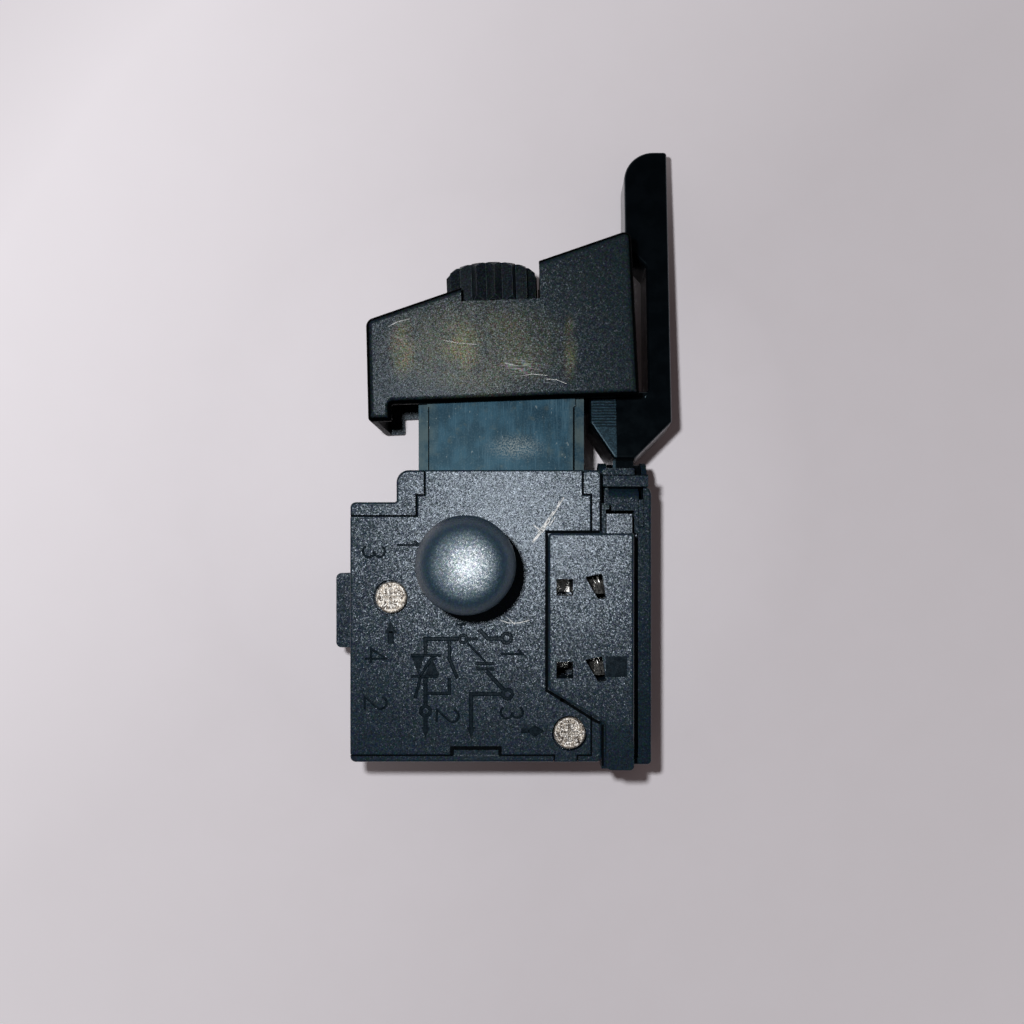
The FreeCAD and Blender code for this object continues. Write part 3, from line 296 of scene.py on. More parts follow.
def trigger_plastic():
    """Finer grain, olive where fingers have worn it, with a scuffed spot, and painted shade that blackens
    its rounded edges and walls.
    """
    s = Shader("trigger_grained_worn")
    speck = s.noise(0.20 * MM, 2.0, 0.7)
    base = s.mix(s.ramp(speck, 0.42, 0.66), (0.006, 0.011, 0.014), (0.017, 0.028, 0.034))
    worn = s.mix(s.ramp(speck, 0.38, 0.62), (0.030, 0.033, 0.012), (0.165, 0.160, 0.070))
    blotch = s.noise(3.4 * MM, 3.5, 0.62, s.moved((0.02, 0.01, 0)))
    bands = [s.patch((-14.2 * MM, 14.0 * MM), (3.0 * MM, 6.0 * MM), 0.1),
             s.patch((-6.1 * MM, 14.0 * MM), (5.2 * MM, 7.5 * MM), 0.1),
             s.maths("MULTIPLY", s.patch((9.85 * MM, 14.0 * MM), (1.5 * MM, 6.5 * MM), 0.1), 0.55),
             s.maths("MULTIPLY", s.patch((-4.0 * MM, 14.0 * MM), (16 * MM, 9 * MM), 0.4), 0.40)]
    rub = bands[0]
    for band in bands[1:]:
        rub = s.maths("MAXIMUM", rub, band)
    amount = s.maths("MULTIPLY", rub, s.ramp(blotch, 0.32, 0.56, 0.35, 1.0))
    colour = s.mix(amount, base, worn)
    hair = s.noise(0.16 * MM, 2.0, 0.6, s.moved((0.03, 0.01, 0), (9, 1, 1), -0.08))
    rubbed_spot = s.patch((2.9 * MM, 11.4 * MM), (4.0 * MM, 1.6 * MM), 0.1)
    scuff = s.maths("MULTIPLY", rubbed_spot, s.ramp(hair, 0.48, 0.62))
    colour = s.mix(s.maths("MULTIPLY", scuff, 0.75), colour, (0.26, 0.27, 0.25))
    # Painted shade: colour and gloss fall to 4 % on rounded edges and walls, darker the further they turn
    # from facing up
    up = s.level(0.80, 0.985, 0.04)
    colour = s.vector("SCALE", tinted(s, colour), up)
    gloss = 0.105
    s.link(s.maths("MULTIPLY", up, gloss), s.bsdf.inputs["Specular IOR Level"])
    rough = s.ramp(speck, 0.3, 0.7, 0.33, 0.26)
    return s.finish(colour, rough, facets(s, 0.16, (0.03, -0.115, 0.0)), gloss_tint=grain_tint)


def plunger_plastic():
    """Smooth blue plastic with fine rubbed lines along its travel, stained and scuffed."""
    s = Shader("plunger_rubbed")
    fine = s.noise(0.16 * MM, 2.0, 0.65, s.moved((0.01, 0, 0), (1, 26, 1)))
    broad = s.noise(1.3 * MM, 2.0, 0.6, s.moved((0.03, 0, 0), (1, 5, 1)))
    grit = s.noise(0.22 * MM, 2.0, 0.7)
    lines = s.maths("ADD", s.maths("MULTIPLY", fine, 0.55), s.maths("MULTIPLY", broad, 0.45))
    cloud = s.noise(3.0 * MM, 3.0, 0.6)
    colour = s.mix(s.ramp(cloud, 0.35, 0.65), (0.004, 0.022, 0.043), (0.018, 0.058, 0.094))
    colour = s.mix(s.ramp(lines, 0.51, 0.64, 0.0, 0.35), colour, (0.10, 0.19, 0.25))
    colour = s.mix(s.ramp(lines, 0.48, 0.38, 0.0, 0.55), colour, (0.003, 0.010, 0.018))
    colour = s.mix(s.ramp(grit, 0.50, 0.64, 0.0, 0.30), colour, (0.08, 0.13, 0.16))
    stain = s.ramp(s.noise(2.2 * MM, 4.0, 0.7, s.moved((0.05, 0.02, 0))), 0.56, 0.72, 0.0, 0.45)
    # Paler, greyer strips along both sides of the plunger, mixed in with the stains
    sides = s.ramp(s.maths("ABSOLUTE", s.axes()[0]), 9.2 * MM, 11.0 * MM, 0.0, 0.55)
    colour = s.mix(s.maths("MAXIMUM", stain, s.maths("MULTIPLY", sides, s.ramp(cloud, 0.3, 0.6))),
                   colour, (0.085, 0.095, 0.075))
    rubbed_spot = s.patch((1.9 * MM, -0.1 * MM), (5.5 * MM, 2.4 * MM), 0.0)
    scuff = s.maths("MULTIPLY", rubbed_spot, s.ramp(grit, 0.42, 0.60))
    colour = s.mix(scuff, colour, (0.22, 0.25, 0.25))
    flecks = s.ramp(s.noise(0.3 * MM, 2.0, 0.7, s.moved((0.02, 0, 0), (1, 3, 1))), 0.69, 0.74, 0.0, 0.7)
    colour = s.mix(flecks, colour, (0.30, 0.34, 0.34))
    rough = s.ramp(lines, 0.3, 0.7, 0.34, 0.46)
    return s.finish(colour, rough, s.bump(lines, 0.5, 0.02 * MM), 0.0, 0.12, (0.45, 0.82, 1.0))


def dial_plastic():
    s = Shader("dial_moulded")
    speck = s.noise(0.20 * MM, 2.0, 0.6)
    colour = s.mix(s.ramp(speck, 0.4, 0.7), (0.003, 0.005, 0.007), (0.018, 0.026, 0.032))
    # Painted highlight: pale tooth edges stand for the glints on the crests
    colour = s.mix(s.maths("MULTIPLY", s.edge_glint_and_wear(0.10 * MM), 0.60), colour, (0.10, 0.125, 0.14))
    return s.finish(tinted(s, colour), s.ramp(speck, 0.3, 0.7, 0.42, 0.32), facets(s, 0.12, (0, 0, 0)),
                    0.0, 0.14, grain_tint)


def button_plastic():
    """Dark teal cap: a broad sheen with a tight bright heart, paler in the middle, partly where a thumb
    rubs it and partly as a painted sheen of the dome's lit top.
    """
    s = Shader("button_speckled")
    speck = s.noise(0.20 * MM, 2.0, 0.7)
    blotch = s.noise(1.1 * MM, 2.0, 0.6)
    colour = s.mix(s.ramp(speck, 0.40, 0.66), (0.003, 0.013, 0.026), (0.009, 0.026, 0.046))
    # A pale patch over the cap's middle: thumb wear in part, and in part a painted sheen where the dome
    # faces the lamp
    rub = s.patch((button_x, button_y), (4.8 * MM, 5.2 * MM), 0.0)
    rub = s.maths("MULTIPLY", rub, s.ramp(blotch, 0.3, 0.6, 0.45, 1.0))
    colour = s.mix(rub, colour, (0.13, 0.165, 0.20))
    rough = s.ramp(speck, 0.3, 0.7, 0.54, 0.46)
    s.bsdf.inputs["Coat Weight"].default_value = 0.85
    s.bsdf.inputs["Coat Roughness"].default_value = 0.30
    normal = facets(s, 0.12, (-0.035, 0.070, 0), soft=2.4 * MM)
    s.link(normal, s.bsdf.inputs["Coat Normal"])
    return s.finish(tinted(s, colour), rough, normal, 0.0, 0.60, (0.60, 0.86, 1.0))


def lever_plastic():
    """Glossy black moulding with a faint haze; its block's left shoulder is grained and teal."""
    s = Shader("lever_gloss")
    haze = s.noise(2.4 * MM, 3.0, 0.6)
    dust = s.ramp(s.cells(0.9 * MM), 0.0, 0.05, 1.0, 0.0)
    colour = s.mix(s.ramp(haze, 0.35, 0.7), (0.0010, 0.0019, 0.0028), (0.0018, 0.0030, 0.0042))
    colour = s.mix(s.maths("MULTIPLY", dust, 0.4), colour, (0.03, 0.034, 0.038))
    x, y, _ = s.axes()
    shoulder = s.maths("MULTIPLY", s.ramp(x, 16.9 * MM, 17.1 * MM, 1.0, 0.0),
                       s.ramp(y, 7.5 * MM, 7.7 * MM, 1.0, 0.0))
    shoulder = s.maths("MULTIPLY", shoulder, s.level(0.85, 0.97, 0.0))
    speck = s.noise(0.20 * MM, 2.0, 0.7)
    teal = s.mix(s.ramp(speck, 0.44, 0.62), (0.004, 0.010, 0.016), (0.024, 0.056, 0.080))
    colour = s.mix(shoulder, colour, teal)
    rough = s.maths("ADD", s.ramp(haze, 0.3, 0.7, 0.14, 0.20), s.maths("MULTIPLY", shoulder, 0.2))
    return s.finish(colour, rough, s.bump(haze, 0.03, 0.05 * MM), 0.0, 0.35, (0.6, 0.85, 1.0))


def plated_steel():
    """Nickel plated screw: brown blotches, bright chips and bright edges round the worn recess that are
    partly painted highlights, and painted shade deep in the recess.
    """
    s = Shader("plated_steel_worn")
    blotch = s.noise(0.7 * MM, 3.0, 0.7)
    grit = s.noise(0.22 * MM, 2.0, 0.65)
    colour = s.mix(s.ramp(blotch, 0.42, 0.56), (0.050, 0.038, 0.030), (0.36, 0.32, 0.27))
    # Bright chips: partly worn plating, partly painted highlights on the head
    colour = s.mix(s.ramp(grit, 0.52, 0.62, 0.0, 0.95), colour, (0.92, 0.90, 0.86))
    # Painted shade: the recess darkens towards its bottom
    depth = s.ramp(s.axes()[2], face_z - 0.78 * MM, face_z - 0.2 * MM, 0.35, 0.0)
    colour = s.mix(depth, colour, (0.05, 0.04, 0.03))
    # Bright recess edges: partly worn metal, partly painted glints
    colour = s.mix(s.maths("MULTIPLY", s.edge_glint_and_wear(0.22 * MM), 0.9), colour, (0.90, 0.88, 0.84))
    rough = s.ramp(grit, 0.3, 0.7, 0.40, 0.56)
    return s.finish(colour, rough, s.bump(blotch, 0.8, 0.12 * MM, facets(s, 0.25, (0, 0, 0))), 0.5, 0.4)


def sprung_steel(name, colour_low, colour_high, rough):
    """Drawn or stamped metal with fine lines."""
    s = Shader(name)
    lines = s.noise(0.25 * MM, 2.0, 0.5, s.moved((0, 0, 0), (1, 1, 9)))
    colour = s.mix(s.ramp(lines, 0.35, 0.65), colour_low, colour_high)
    dulled = s.ramp(lines, 0.3, 0.7, rough, rough + 0.12)
    return s.finish(colour, dulled, s.bump(lines, 0.1, 0.02 * MM), 0.95)


def plain_moulding(name, colour_low, colour_high, rough=0.5):
    s = Shader(name)
    tone = s.noise(1.6 * MM, 3.0, 0.6)
    colour = s.mix(s.ramp(tone, 0.35, 0.65), colour_low, colour_high)
    return s.finish(colour, rough, grain_normal(s, 0.3 * MM, 0.4))


def board_laminate():
    """Brown phenolic board with a darker weave."""
    s = Shader("board_laminate")
    weave = s.noise(0.5 * MM, 2.0, 0.5, s.moved((0, 0, 0), (6, 1, 1)))
    colour = s.mix(s.ramp(weave, 0.4, 0.62), (0.16, 0.085, 0.028), (0.27, 0.16, 0.06))
    return s.finish(colour, 0.45, s.bump(weave, 0.15, 0.03 * MM))


def dress(node, material):
    mesh = nodes[node].data
    mesh.materials.clear()
    mesh.materials.append(material)


grain_tint = (0.77, 0.875, 1.0)
housing = housing_plastic("housing_grained", 0.0)
cover_plastic = housing_plastic("cover_grained", 0.031)
plate_plastic = housing_plastic("plate_grained", 0.055, -0.075)
unit_plastic = housing_plastic("unit_grained", 0.067, 0.010, 0.17,
                               (0.005, 0.012, 0.019), (0.012, 0.025, 0.037))
steel = sprung_steel("spring_steel_drawn", (0.36, 0.36, 0.35), (0.72, 0.71, 0.69), 0.24)
copper = sprung_steel("copper_stamped", (0.52, 0.24, 0.13), (0.83, 0.46, 0.28), 0.26)
brass = sprung_steel("brass_turned", (0.50, 0.34, 0.13), (0.78, 0.60, 0.27), 0.24)
aluminium = sprung_steel("sink_extruded", (0.45, 0.46, 0.47), (0.74, 0.75, 0.76), 0.32)

finishes = {
    "base_housing": housing,
    "front_cover": cover_plastic,
    "reversing_housing": unit_plastic,
    "reversing_cover": plate_plastic,
    "housing_screws": plated_steel(),
    "trigger": trigger_plastic(),
    "plunger": plunger_plastic(),
    "speed_dial": dial_plastic(),
    "dial_screw": brass,
    "stop_nut": brass,
    "trigger_spring": steel,
    "lock_spring": steel,
    "detent_spring": steel,
    "lock_button": button_plastic(),
    "reversing_lever": lever_plastic(),
    "reversing_slide": plain_moulding("slide_natural", (0.55, 0.52, 0.44), (0.66, 0.63, 0.54)),
    "reversing_bridges": copper,
    "push_in_terminals": steel,
    "motor_contacts": copper,
    "circuit_board": board_laminate(),
    "triac": plain_moulding("triac_moulded", (0.008, 0.008, 0.009), (0.016, 0.016, 0.017), 0.42),
    "heat_sink": aluminium,
    "capacitor": plain_moulding("capacitor_case", (0.42, 0.20, 0.03), (0.55, 0.28, 0.05), 0.28),
    "resistors": plain_moulding("resistor_lacquer", (0.40, 0.29, 0.17), (0.52, 0.40, 0.25), 0.4),
    "wiper": copper,
    "contact_slider": copper,
    "fixed_contacts": copper,
    "line_terminals": steel,
}
for node_name, finish_material in finishes.items():
    dress(node_name, finish_material)


# What the housing carries: raised marks, strips of painted shade along the gaps, scratches and the
# terminals' blades

class Relief:
    """Low ridges and pads on a level face, gathered in one mesh."""

    def __init__(self, name, material, body, z, height, slope):
        self.name, self.material, self.body = name, material, body
        self.z, self.height, self.slope = z, height, slope
        self.mesh = bmesh.new()

    def corner(self, spot, rise):
        return self.mesh.verts.new(on_body(spot.x, spot.y, self.z + rise))

    def line(self, points, width, closed=False):
        """A flat-topped ridge along points, with mitred corners."""
        spots = [Vector(point) for point in points]
        count = len(spots)
        rows = []
        for i, spot in enumerate(spots):
            steps = []
            if i or closed:
                steps.append((spot - spots[i - 1]).normalized())
            if i < count - 1 or closed:
                steps.append((spots[(i + 1) % count] - spot).normalized())
            sides = [Vector((-step.y, step.x)) for step in steps]
            side = (sides[0] + sides[-1]).normalized()
            side /= max(side.dot(sides[0]), 0.4)
            top = width / 2 - self.slope
            rows.append([self.corner(spot + side * width / 2, 0),
                         self.corner(spot + side * top, self.height),
                         self.corner(spot - side * top, self.height),
                         self.corner(spot - side * width / 2, 0)])
        for a, b in zip(rows, rows[1:] + (rows[:1] if closed else [])):
            for j in range(4):
                k = (j + 1) % 4
                self.mesh.faces.new((a[j], a[k], b[k], b[j]))
        if not closed:
            self.mesh.faces.new(rows[0])
            self.mesh.faces.new(rows[-1])

    def ring(self, centre, radius, width):
        turns = [math.radians(15 * i) for i in range(24)]
        self.line([(centre[0] + radius * math.cos(a), centre[1] + radius * math.sin(a))
                   for a in turns], width, True)

    def pad(self, points):
        """A flat-topped pad inside a convex outline."""
        spots = [Vector(point) for point in points]
        middle = sum(spots, Vector((0, 0))) / len(spots)
        reach = min((spot - middle).length for spot in spots)
        shrink = 1 - min(self.slope / reach, 0.6)
        base = [self.corner(spot, 0) for spot in spots]
        top = [self.corner(middle + (spot - middle) * shrink, self.height) for spot in spots]
        self.mesh.faces.new(top)
        self.mesh.faces.new(base[::-1])
        for i in range(len(spots)):
            k = (i + 1) % len(spots)
            self.mesh.faces.new((base[i], base[k], top[k], top[i]))

    def glyph(self, shape, centre, size, width):
        """A numeral on its side, its top to the right."""
        for stroke in numerals[shape]:
            self.line([(centre[0] + y * size, centre[1] - x * size) for x, y in stroke], width)

    def place(self):
        bmesh.ops.recalc_face_normals(self.mesh, faces=self.mesh.faces)
        mesh = bpy.data.meshes.new(self.name)
        self.mesh.to_mesh(mesh)
        self.mesh.free()
        mesh.materials.append(self.material)
        piece = bpy.data.objects.new(self.name, mesh)
        bpy.context.scene.collection.objects.link(piece)
        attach(piece, self.body)
        return piece


def arc(centre, radius, start, end, steps=10):
    """Points round a centre, between two angles in degrees."""
    angles = [math.radians(start + (end - start) * i / steps) for i in range(steps + 1)]
    return [(centre[0] + radius * math.cos(a), centre[1] + radius * math.sin(a)) for a in angles]


numerals = {
    "1": [[(-0.22, 0.28), (0.0, 0.5), (0.0, -0.5)]],
    "2": [arc((0.0, 0.22), 0.27, 165, -35) + [(-0.28, -0.5), (0.3, -0.5)]],
    "3": [arc((0.0, 0.24), 0.25, 150, -90), arc((0.0, -0.24), 0.27, 90, -150)],
    "4": [[(0.12, -0.5), (0.12, 0.5), (-0.32, -0.2), (0.32, -0.2)]],
}
# Heights of the faces that carry them, in millimetres
face = 17.0
plate_face = 18.2
wall_face = 16.6
bridge_face = 16.2
plunger_face = 15.2
markings = marking_plastic()
# Painted shade for the narrow gaps between mouldings
gap_shade = painted_gap_shade()


def make_circuit():
    """The generic circuit diagram: triac with its gate, capacitor, contact and three terminals."""
    marks = Relief("circuit_marks", markings, "housing", face, 0.07, 0.15)
    wide, thin = 0.64, 0.34
    node_a, node_b, node_c, node_d = (16.4, 17.9), (22.7, 18.0), (22.85, 9.9), (10.95, 7.45)
    marks.ring(node_a, 0.55, 0.5)
    for centre in (node_b, node_c, node_d):
        marks.ring(centre, 0.68, 0.56)
    marks.line([(15.7, 17.9), (10.95, 17.9), (10.95, 15.7)], wide)
    marks.line([(8.8, 15.5), (13.2, 15.5)], 0.42)
    marks.line([(8.8, 12.45), (12.8, 12.45)], 0.42)
    marks.pad([(8.95, 15.3), (10.8, 15.3), (9.87, 12.65)])
    marks.pad([(10.85, 12.65), (13.0, 12.65), (11.9, 15.1)])
    marks.line([(12.5, 15.15), (11.75, 14.95), (10.3, 12.7), (9.45, 9.3)], 0.5)
    marks.line([(10.95, 12.25), (10.95, 8.3)], wide)
    marks.line([(10.95, 6.6), (10.95, 5.0)], wide)
    marks.pad([(10.35, 5.1), (11.55, 5.1), (10.95, 3.5)])
    marks.line([(14.4, 17.6), (14.4, 15.0), (15.6, 12.15)], 0.55)
    marks.line([(14.4, 12.3), (14.4, 10.0), (11.25, 10.0)], 0.5)
    marks.line([(17.1, 17.9), (18.55, 17.9)], 0.5)
    marks.line([(18.7, 19.3), (20.0, 17.95), (21.9, 17.95)], wide)
    marks.line([(17.0, 17.3), (19.65, 14.6)], thin)
    marks.line([(18.2, 14.35), (20.95, 14.35)], 0.48)
    marks.line([(18.2, 13.55), (20.95, 13.55)], 0.48)
    marks.line([(19.8, 13.2), (22.2, 10.6)], wide)
    marks.line([(22.0, 9.9), (17.55, 9.9), (17.55, 5.0)], wide)
    marks.pad([(16.9, 5.1), (18.2, 5.1), (17.55, 3.5)])
    marks.line([(15.4, 20.0), (16.8, 20.0)], thin)
    marks.line([(16.1, 20.0), (16.1, 19.4)], thin)
    for shape, centre in (("1", (23.45, 15.7)), ("2", (14.2, 6.75)), ("3", (23.5, 7.25)),
                          ("2", (3.75, 8.65)), ("4", (3.7, 15.4)), ("3", (3.5, 30.6)), ("1", (8.4, 31.5))):
        marks.glyph(shape, centre, 3.2, 0.36)
    marks.line([(5.9, 17.25), (5.9, 19.0)], 0.9)
    marks.pad([(5.0, 18.7), (6.8, 18.7), (5.9, 20.5)])
    marks.line([(24.8, 4.6), (26.0, 4.6)], 0.8)
    marks.pad([(25.5, 4.55), (26.8, 5.4), (28.2, 4.55), (26.8, 3.7)])
    marks.place()


def make_gap_shade():
    """Strips of painted shade where mouldings meet: round the cover, plate and snap tab, and on the
    plunger; their near-black colour stands for the shade in the gaps.
    """
    cover = Relief("cover_gap_shade", gap_shade, "housing", face, 0.012, 0.01)
    cover.line([(0.1, 35.75), (9.6, 35.75), (9.6, 38.8), (10.8, 38.8), (10.8, 42.2)], 0.26)
    cover.line([(33.8, 42.2), (33.8, 38.85), (35.0, 38.85), (35.0, 33.5)], 0.26)
    cover.line([(35.0, 6.4), (35.0, 1.0), (33.0, 1.0), (33.0, 0.3)], 0.24)
    cover.line([(29.6, 0.3), (29.6, 1.0), (21.8, 1.0)], 0.24)
    cover.line([(14.7, 1.0), (0.2, 1.0)], 0.24)
    cover.line([(14.75, 1.1), (14.75, 2.1), (21.75, 2.1), (21.75, 1.1)], 0.5)
    cover.line([(36.2, 33.42), (28.5, 33.42), (28.5, 10.45), (35.7, 5.95), (36.3, 5.7)], 0.44)
    cover.line([(36.35, 41.9), (36.35, 33.5)], 0.26)
    cover.ring((30.74, 9.04), 0.16, 0.3)
    cover.place()
    wall = Relief("tongue_gap_shade", gap_shade, "housing", wall_face, 0.012, 0.01)
    wall.line([(36.68, 5.4), (36.68, -0.6)], 0.32)
    wall.place()
    bridge = Relief("bridge_gap_shade", gap_shade, "housing", bridge_face, 0.012, 0.01)
    bridge.line([(36.8, 41.72), (43.3, 41.72)], 0.16)
    bridge.place()
    rails = Relief("plunger_gap_shade", gap_shade, "trigger", plunger_face, 0.012, 0.01)
    for u in (11.22, 32.48):
        rails.line([(u, 35.2), (u, 51.8)], 0.16)
    rails.place()


def make_unit_infill():
    """Closes the reversing unit's bar against its right wall."""
    foot, height = 12.4, 1.6
    infill = Relief("unit_infill", unit_plastic, "housing", foot, height, 0.0)
    infill.pad([(42.12, 34.2), (42.98, 34.2), (42.98, 38.3), (42.12, 38.3)])
    infill.place()


def make_lever_ribs():
    """Fine ribs on the left shoulder of the lever's block."""
    tilt = math.radians(-5.5)
    pivot_v, pivot_z = 41.0, 8.5
    first_rib, pitch, count = 48.9, 0.44, 11
    left_edge, right_edge = 35.35, 39.0
    slant_top, slant = 49.6, 0.8
    box_sides = ((0, 1, 2, 3), (7, 6, 5, 4), (0, 4, 5, 1), (1, 5, 6, 2), (2, 6, 7, 3), (3, 7, 4, 0))
    ribs = bmesh.new()

    def on_lever(u, v, rise):
        """A point on the lever as drawn level, turned down with it."""
        reach = v - pivot_v
        return on_body(u, pivot_v + reach * math.cos(tilt) - rise * math.sin(tilt),
                       pivot_z + reach * math.sin(tilt) + rise * math.cos(tilt))

    for i in range(count):
        v = first_rib + pitch * i
        left = left_edge if v > slant_top else left_edge + (slant_top - v) * slant
        top = 4.73 + (54.4 - v) * 0.02
        foot = ((left, v), (right_edge, v), (right_edge, v + 0.22), (left, v + 0.22))
        crest = ((left, v + 0.07), (right_edge, v + 0.07), (right_edge, v + 0.15), (left, v + 0.15))
        points = [on_lever(u, w, top - 0.15) for u, w in foot]
        points += [on_lever(u, w, top + 0.05) for u, w in crest]
        corners = [ribs.verts.new(point) for point in points]
        for side in box_sides:
            ribs.faces.new([corners[j] for j in side])
    bmesh.ops.recalc_face_normals(ribs, faces=ribs.faces)
    mesh = bpy.data.meshes.new("lever_ribs")
    ribs.to_mesh(mesh)
    ribs.free()
    mesh.materials.append(unit_plastic)
    piece = bpy.data.objects.new("lever_ribs", mesh)
    bpy.context.scene.collection.objects.link(piece)
    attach(piece, "lever")


def make_plate_mark():
    mark = Relief("plate_mark", markings, "housing", plate_face, 0.015, 0.05)
    mark.pad([(37.0, 12.5), (40.05, 12.5), (40.05, 15.5), (37.0, 15.5)])
    mark.place()


def make_scratches():
    """Pale scratches on the cover above the button and on the trigger, and a pale arc on the cover below
    the button.
    """
    pale = scratch_pale()
    cover = Relief("cover_scratches", pale, "housing", face, 0.010, 0.02)
    for points, width in (
            ([(26.5, 31.9), (27.6, 33.3), (28.9, 35.1)], 0.34),
            ([(28.5, 34.6), (29.7, 36.3), (31.0, 38.4)], 0.18),
            ([(27.2, 33.3), (28.4, 34.8), (29.5, 36.4)], 0.16),
            ([(26.6, 34.45), (27.3, 33.85), (28.0, 33.5)], 0.16),
            ([(28.9, 34.3), (29.7, 35.5)], 0.14),
            ([(27.9, 33.3), (28.5, 34.3)], 0.18),
            ([(30.0, 36.9), (30.4, 38.0)], 0.12),
            ([(21.8, 20.6), (23.0, 20.2), (24.5, 20.2), (26.0, 20.6)], 0.11),
            ([(22.8, 21.0), (23.9, 20.0)], 0.12)):
        cover.line(points, width)
    cover.place()
    trigger = Relief("trigger_scratches", pale, "trigger", face, 0.010, 0.02)
    for points, width in (
            ([(28.2, 55.6), (29.9, 55.5), (31.4, 54.9)], 0.07),
            ([(24.6, 56.0), (26.4, 56.3), (28.6, 56.1)], 0.06),
            ([(22.4, 57.9), (24.4, 57.5)], 0.06),
            ([(5.6, 63.2), (6.9, 63.9), (8.6, 64.3)], 0.07),
            ([(13.6, 61.2), (15.6, 60.8), (18.4, 60.6)], 0.05)):
        trigger.line(points, width)
    trigger.place()


def make_blades():
    """The rounded edges of the terminals' spring blades, seen through the plate's windows."""
    mesh = bmesh.new()
    for top, foot, radius in (((35.75, 27.35), (36.8, 24.7), 0.20), ((35.2, 26.9), (36.2, 24.9), 0.10),
                              ((35.6, 15.4), (36.6, 12.8), 0.12)):
        a, b = on_body(*top, 15.85), on_body(*foot, 15.75)
        turn = (b - a).to_track_quat("Z", "Y").to_matrix().to_4x4()
        bmesh.ops.create_cone(mesh, cap_ends=True, segments=16,
                              radius1=radius * MM, radius2=0.6 * radius * MM,
                              depth=(b - a).length, matrix=Matrix.Translation((a + b) / 2) @ turn)
    blade = bpy.data.meshes.new("blade_edges")
    mesh.to_mesh(blade)
    mesh.free()
    for polygon in blade.polygons:
        polygon.use_smooth = True
    blade.materials.append(steel)
    piece = bpy.data.objects.new("blade_edges", blade)
    bpy.context.scene.collection.objects.link(piece)
    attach(piece, "housing")


make_circuit()
make_gap_shade()
make_unit_infill()
make_lever_ribs()
make_plate_mark()
make_scratches()
make_blades()


# Paper, world, lamps and camera

def make_floor():
    size = 1.6
    mesh = bpy.data.meshes.new("paper")
    mesh.from_pydata([(-size, -size, 0), (size, -size, 0), (size, size, 0), (-size, size, 0)], [],
                     [(0, 1, 2, 3)])
    floor = bpy.data.objects.new("paper", mesh)
    floor.location.z = cad_box[0][2] - 0.02 * MM
    bpy.context.scene.collection.objects.link(floor)
    s = Shader("paper_matte")
    fibre = s.noise(9 * MM, 3.0, 0.6)
    x, y, _ = s.axes()
    colour = s.mix(s.ramp(fibre, 0.3, 0.7, 0.0, 0.5), (0.790, 0.765, 0.815), (0.770, 0.745, 0.790))
    # Painted light: the paper glows for camera, glossy and transmission rays, most at the left and the top
    # and away from the shadows, standing for light the lamp doesn't give
    offset = s.moved((0, -5 * MM, 0), (0.1, 0.1, 10))
    far = s.tree.nodes.new("ShaderNodeVectorMath")
    far.operation = "LENGTH"
    s.link(offset, far.inputs[0])
    rim = s.maths("MULTIPLY", s.maths("MAXIMUM", s.maths("SUBTRACT", far.outputs["Value"], 0.5), 0.0), 0.30)
    left = s.maths("MULTIPLY", s.maths("MAXIMUM", s.maths("SUBTRACT", 0.005, x), 0.0), 1.2)
    slanted = s.maths("SUBTRACT", y, s.maths("MULTIPLY", x, 0.9))
    corner = s.maths("MULTIPLY", s.maths("MAXIMUM", slanted, 0.0), 1.6)
    painted_glow = s.maths("ADD", s.maths("ADD", rim, left), corner)
    path = s.tree.nodes.new("ShaderNodeLightPath")
    seen = s.maths("MAXIMUM", path.outputs["Is Camera Ray"], path.outputs["Is Glossy Ray"])
    seen = s.maths("MAXIMUM", seen, path.outputs["Is Transmission Ray"])
    s.bsdf.inputs["Emission Color"].default_value = (0.985, 0.955, 1.0, 1)
    s.link(s.maths("MULTIPLY", s.maths("MINIMUM", painted_glow, 0.40), seen), s.bsdf.inputs["Emission Strength"])
    mesh.materials.append(s.finish(colour, 0.9, s.bump(fibre, 0.05, 0.2 * MM), 0.0, 0.1))
    return floor


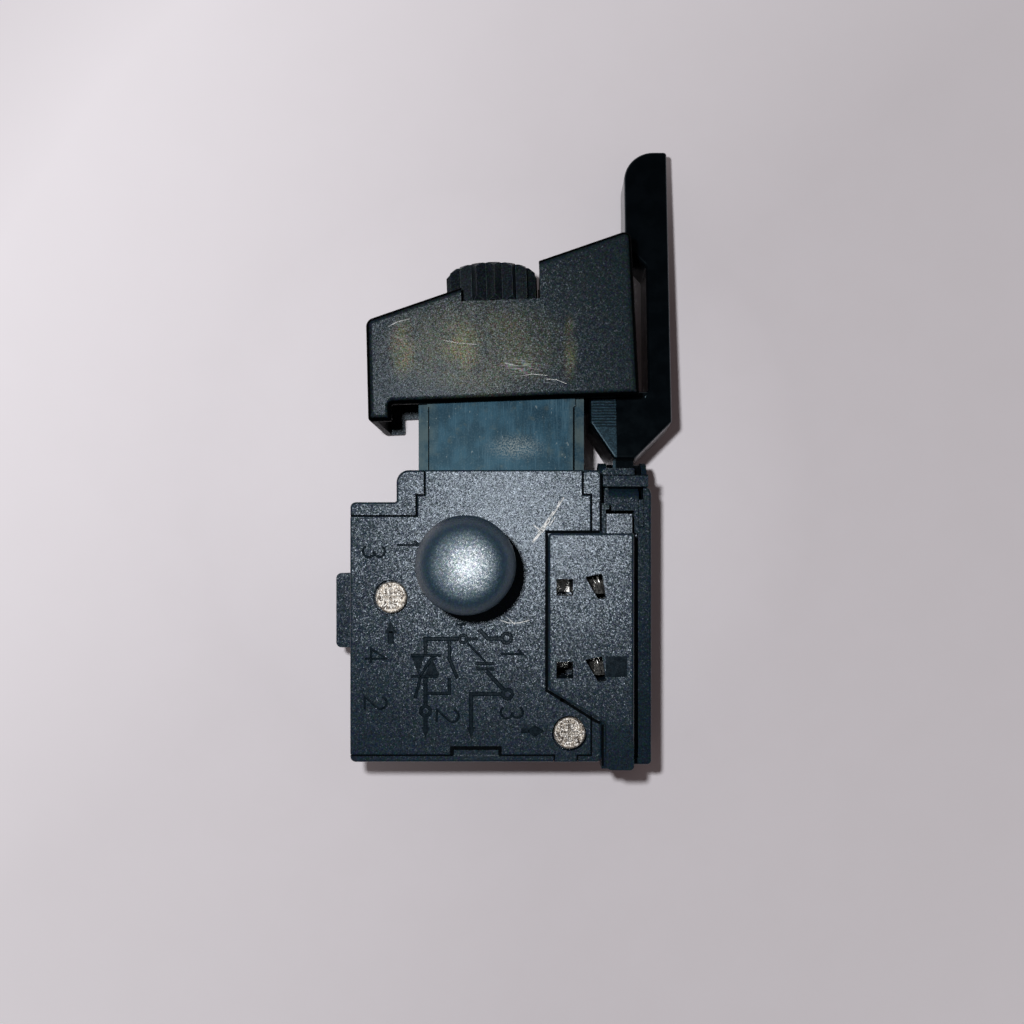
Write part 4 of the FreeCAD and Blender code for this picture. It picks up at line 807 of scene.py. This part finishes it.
def make_world():
    """A pale room that darkens overhead; it lights the object only faintly."""
    world = bpy.data.worlds.new("studio")
    bpy.context.scene.world = world
    world.use_nodes = True
    tree = world.node_tree
    background = tree.nodes["Background"]
    place = tree.nodes.new("ShaderNodeTexCoord")
    split = tree.nodes.new("ShaderNodeSeparateXYZ")
    tree.links.new(place.outputs["Generated"], split.inputs["Vector"])
    fade = tree.nodes.new("ShaderNodeMapRange")
    for name, number in (("From Min", 0.02), ("From Max", 0.34), ("To Min", 0.85), ("To Max", 0.02)):
        fade.inputs[name].default_value = number
    tree.links.new(split.outputs["Z"], fade.inputs["Value"])
    path = tree.nodes.new("ShaderNodeLightPath")
    seen = tree.nodes.new("ShaderNodeMath")
    seen.operation = "MAXIMUM"
    tree.links.new(path.outputs["Is Camera Ray"], seen.inputs[0])
    tree.links.new(path.outputs["Is Glossy Ray"], seen.inputs[1])
    either = tree.nodes.new("ShaderNodeMath")
    either.operation = "MAXIMUM"
    tree.links.new(seen.outputs["Value"], either.inputs[0])
    tree.links.new(path.outputs["Is Transmission Ray"], either.inputs[1])
    tint = tree.nodes.new("ShaderNodeMix")
    tint.data_type = "RGBA"
    tint.inputs[6].default_value = (1.0, 0.78, 0.75, 1)
    tint.inputs[7].default_value = (0.97, 0.96, 1.0, 1)
    tree.links.new(either.outputs["Value"], tint.inputs[0])
    tree.links.new(tint.outputs[2], background.inputs["Color"])
    strength = tree.nodes.new("ShaderNodeMix")
    strength.inputs[2].default_value = 0.10
    tree.links.new(either.outputs["Value"], strength.inputs[0])
    tree.links.new(fade.outputs["Result"], strength.inputs[3])
    tree.links.new(strength.outputs[0], background.inputs["Strength"])


def make_lamp(name, place, aim, size, power, colour=(1, 1, 1)):
    light = bpy.data.lights.new(name, "AREA")
    light.shape = "DISK"
    light.size = size
    light.energy = power
    light.color = colour
    lamp = bpy.data.objects.new(name, light)
    lamp.location = place
    direction = Vector(aim) - Vector(place)
    lamp.rotation_euler = direction.to_track_quat("-Z", "Y").to_euler()
    bpy.context.scene.collection.objects.link(lamp)
    return lamp


def make_camera():
    """Straight above the paper, close: the picture's middle is off the point below the camera."""
    picture = 1024
    focal_pixels = 960
    nadir_pixel = (530, 563)
    nadir = Vector((4.05, -17.10, 0)) * MM
    height = 156.2 * MM
    camera_data = bpy.data.cameras.new("camera")
    camera_data.sensor_width = 36
    camera_data.lens = 36 * focal_pixels / picture
    camera_data.shift_x = (picture / 2 - nadir_pixel[0]) / picture
    camera_data.shift_y = (nadir_pixel[1] - picture / 2) / picture
    camera_data.clip_start = 0.005
    camera = bpy.data.objects.new("camera", camera_data)
    camera.location = nadir + Vector((0, 0, height))
    bpy.context.scene.collection.objects.link(camera)
    bpy.context.scene.camera = camera
    return nadir, height


nadir, camera_height = make_camera()
flash_place = nadir + Vector((-19 * MM, 16 * MM, camera_height))
flash_size = 9 * MM
flash_power = 0.172
make_floor()
make_world()
make_lamp("flash", flash_place, nadir, flash_size, flash_power, (1.0, 0.995, 0.99))

bpy.context.scene.view_settings.view_transform = "Standard"
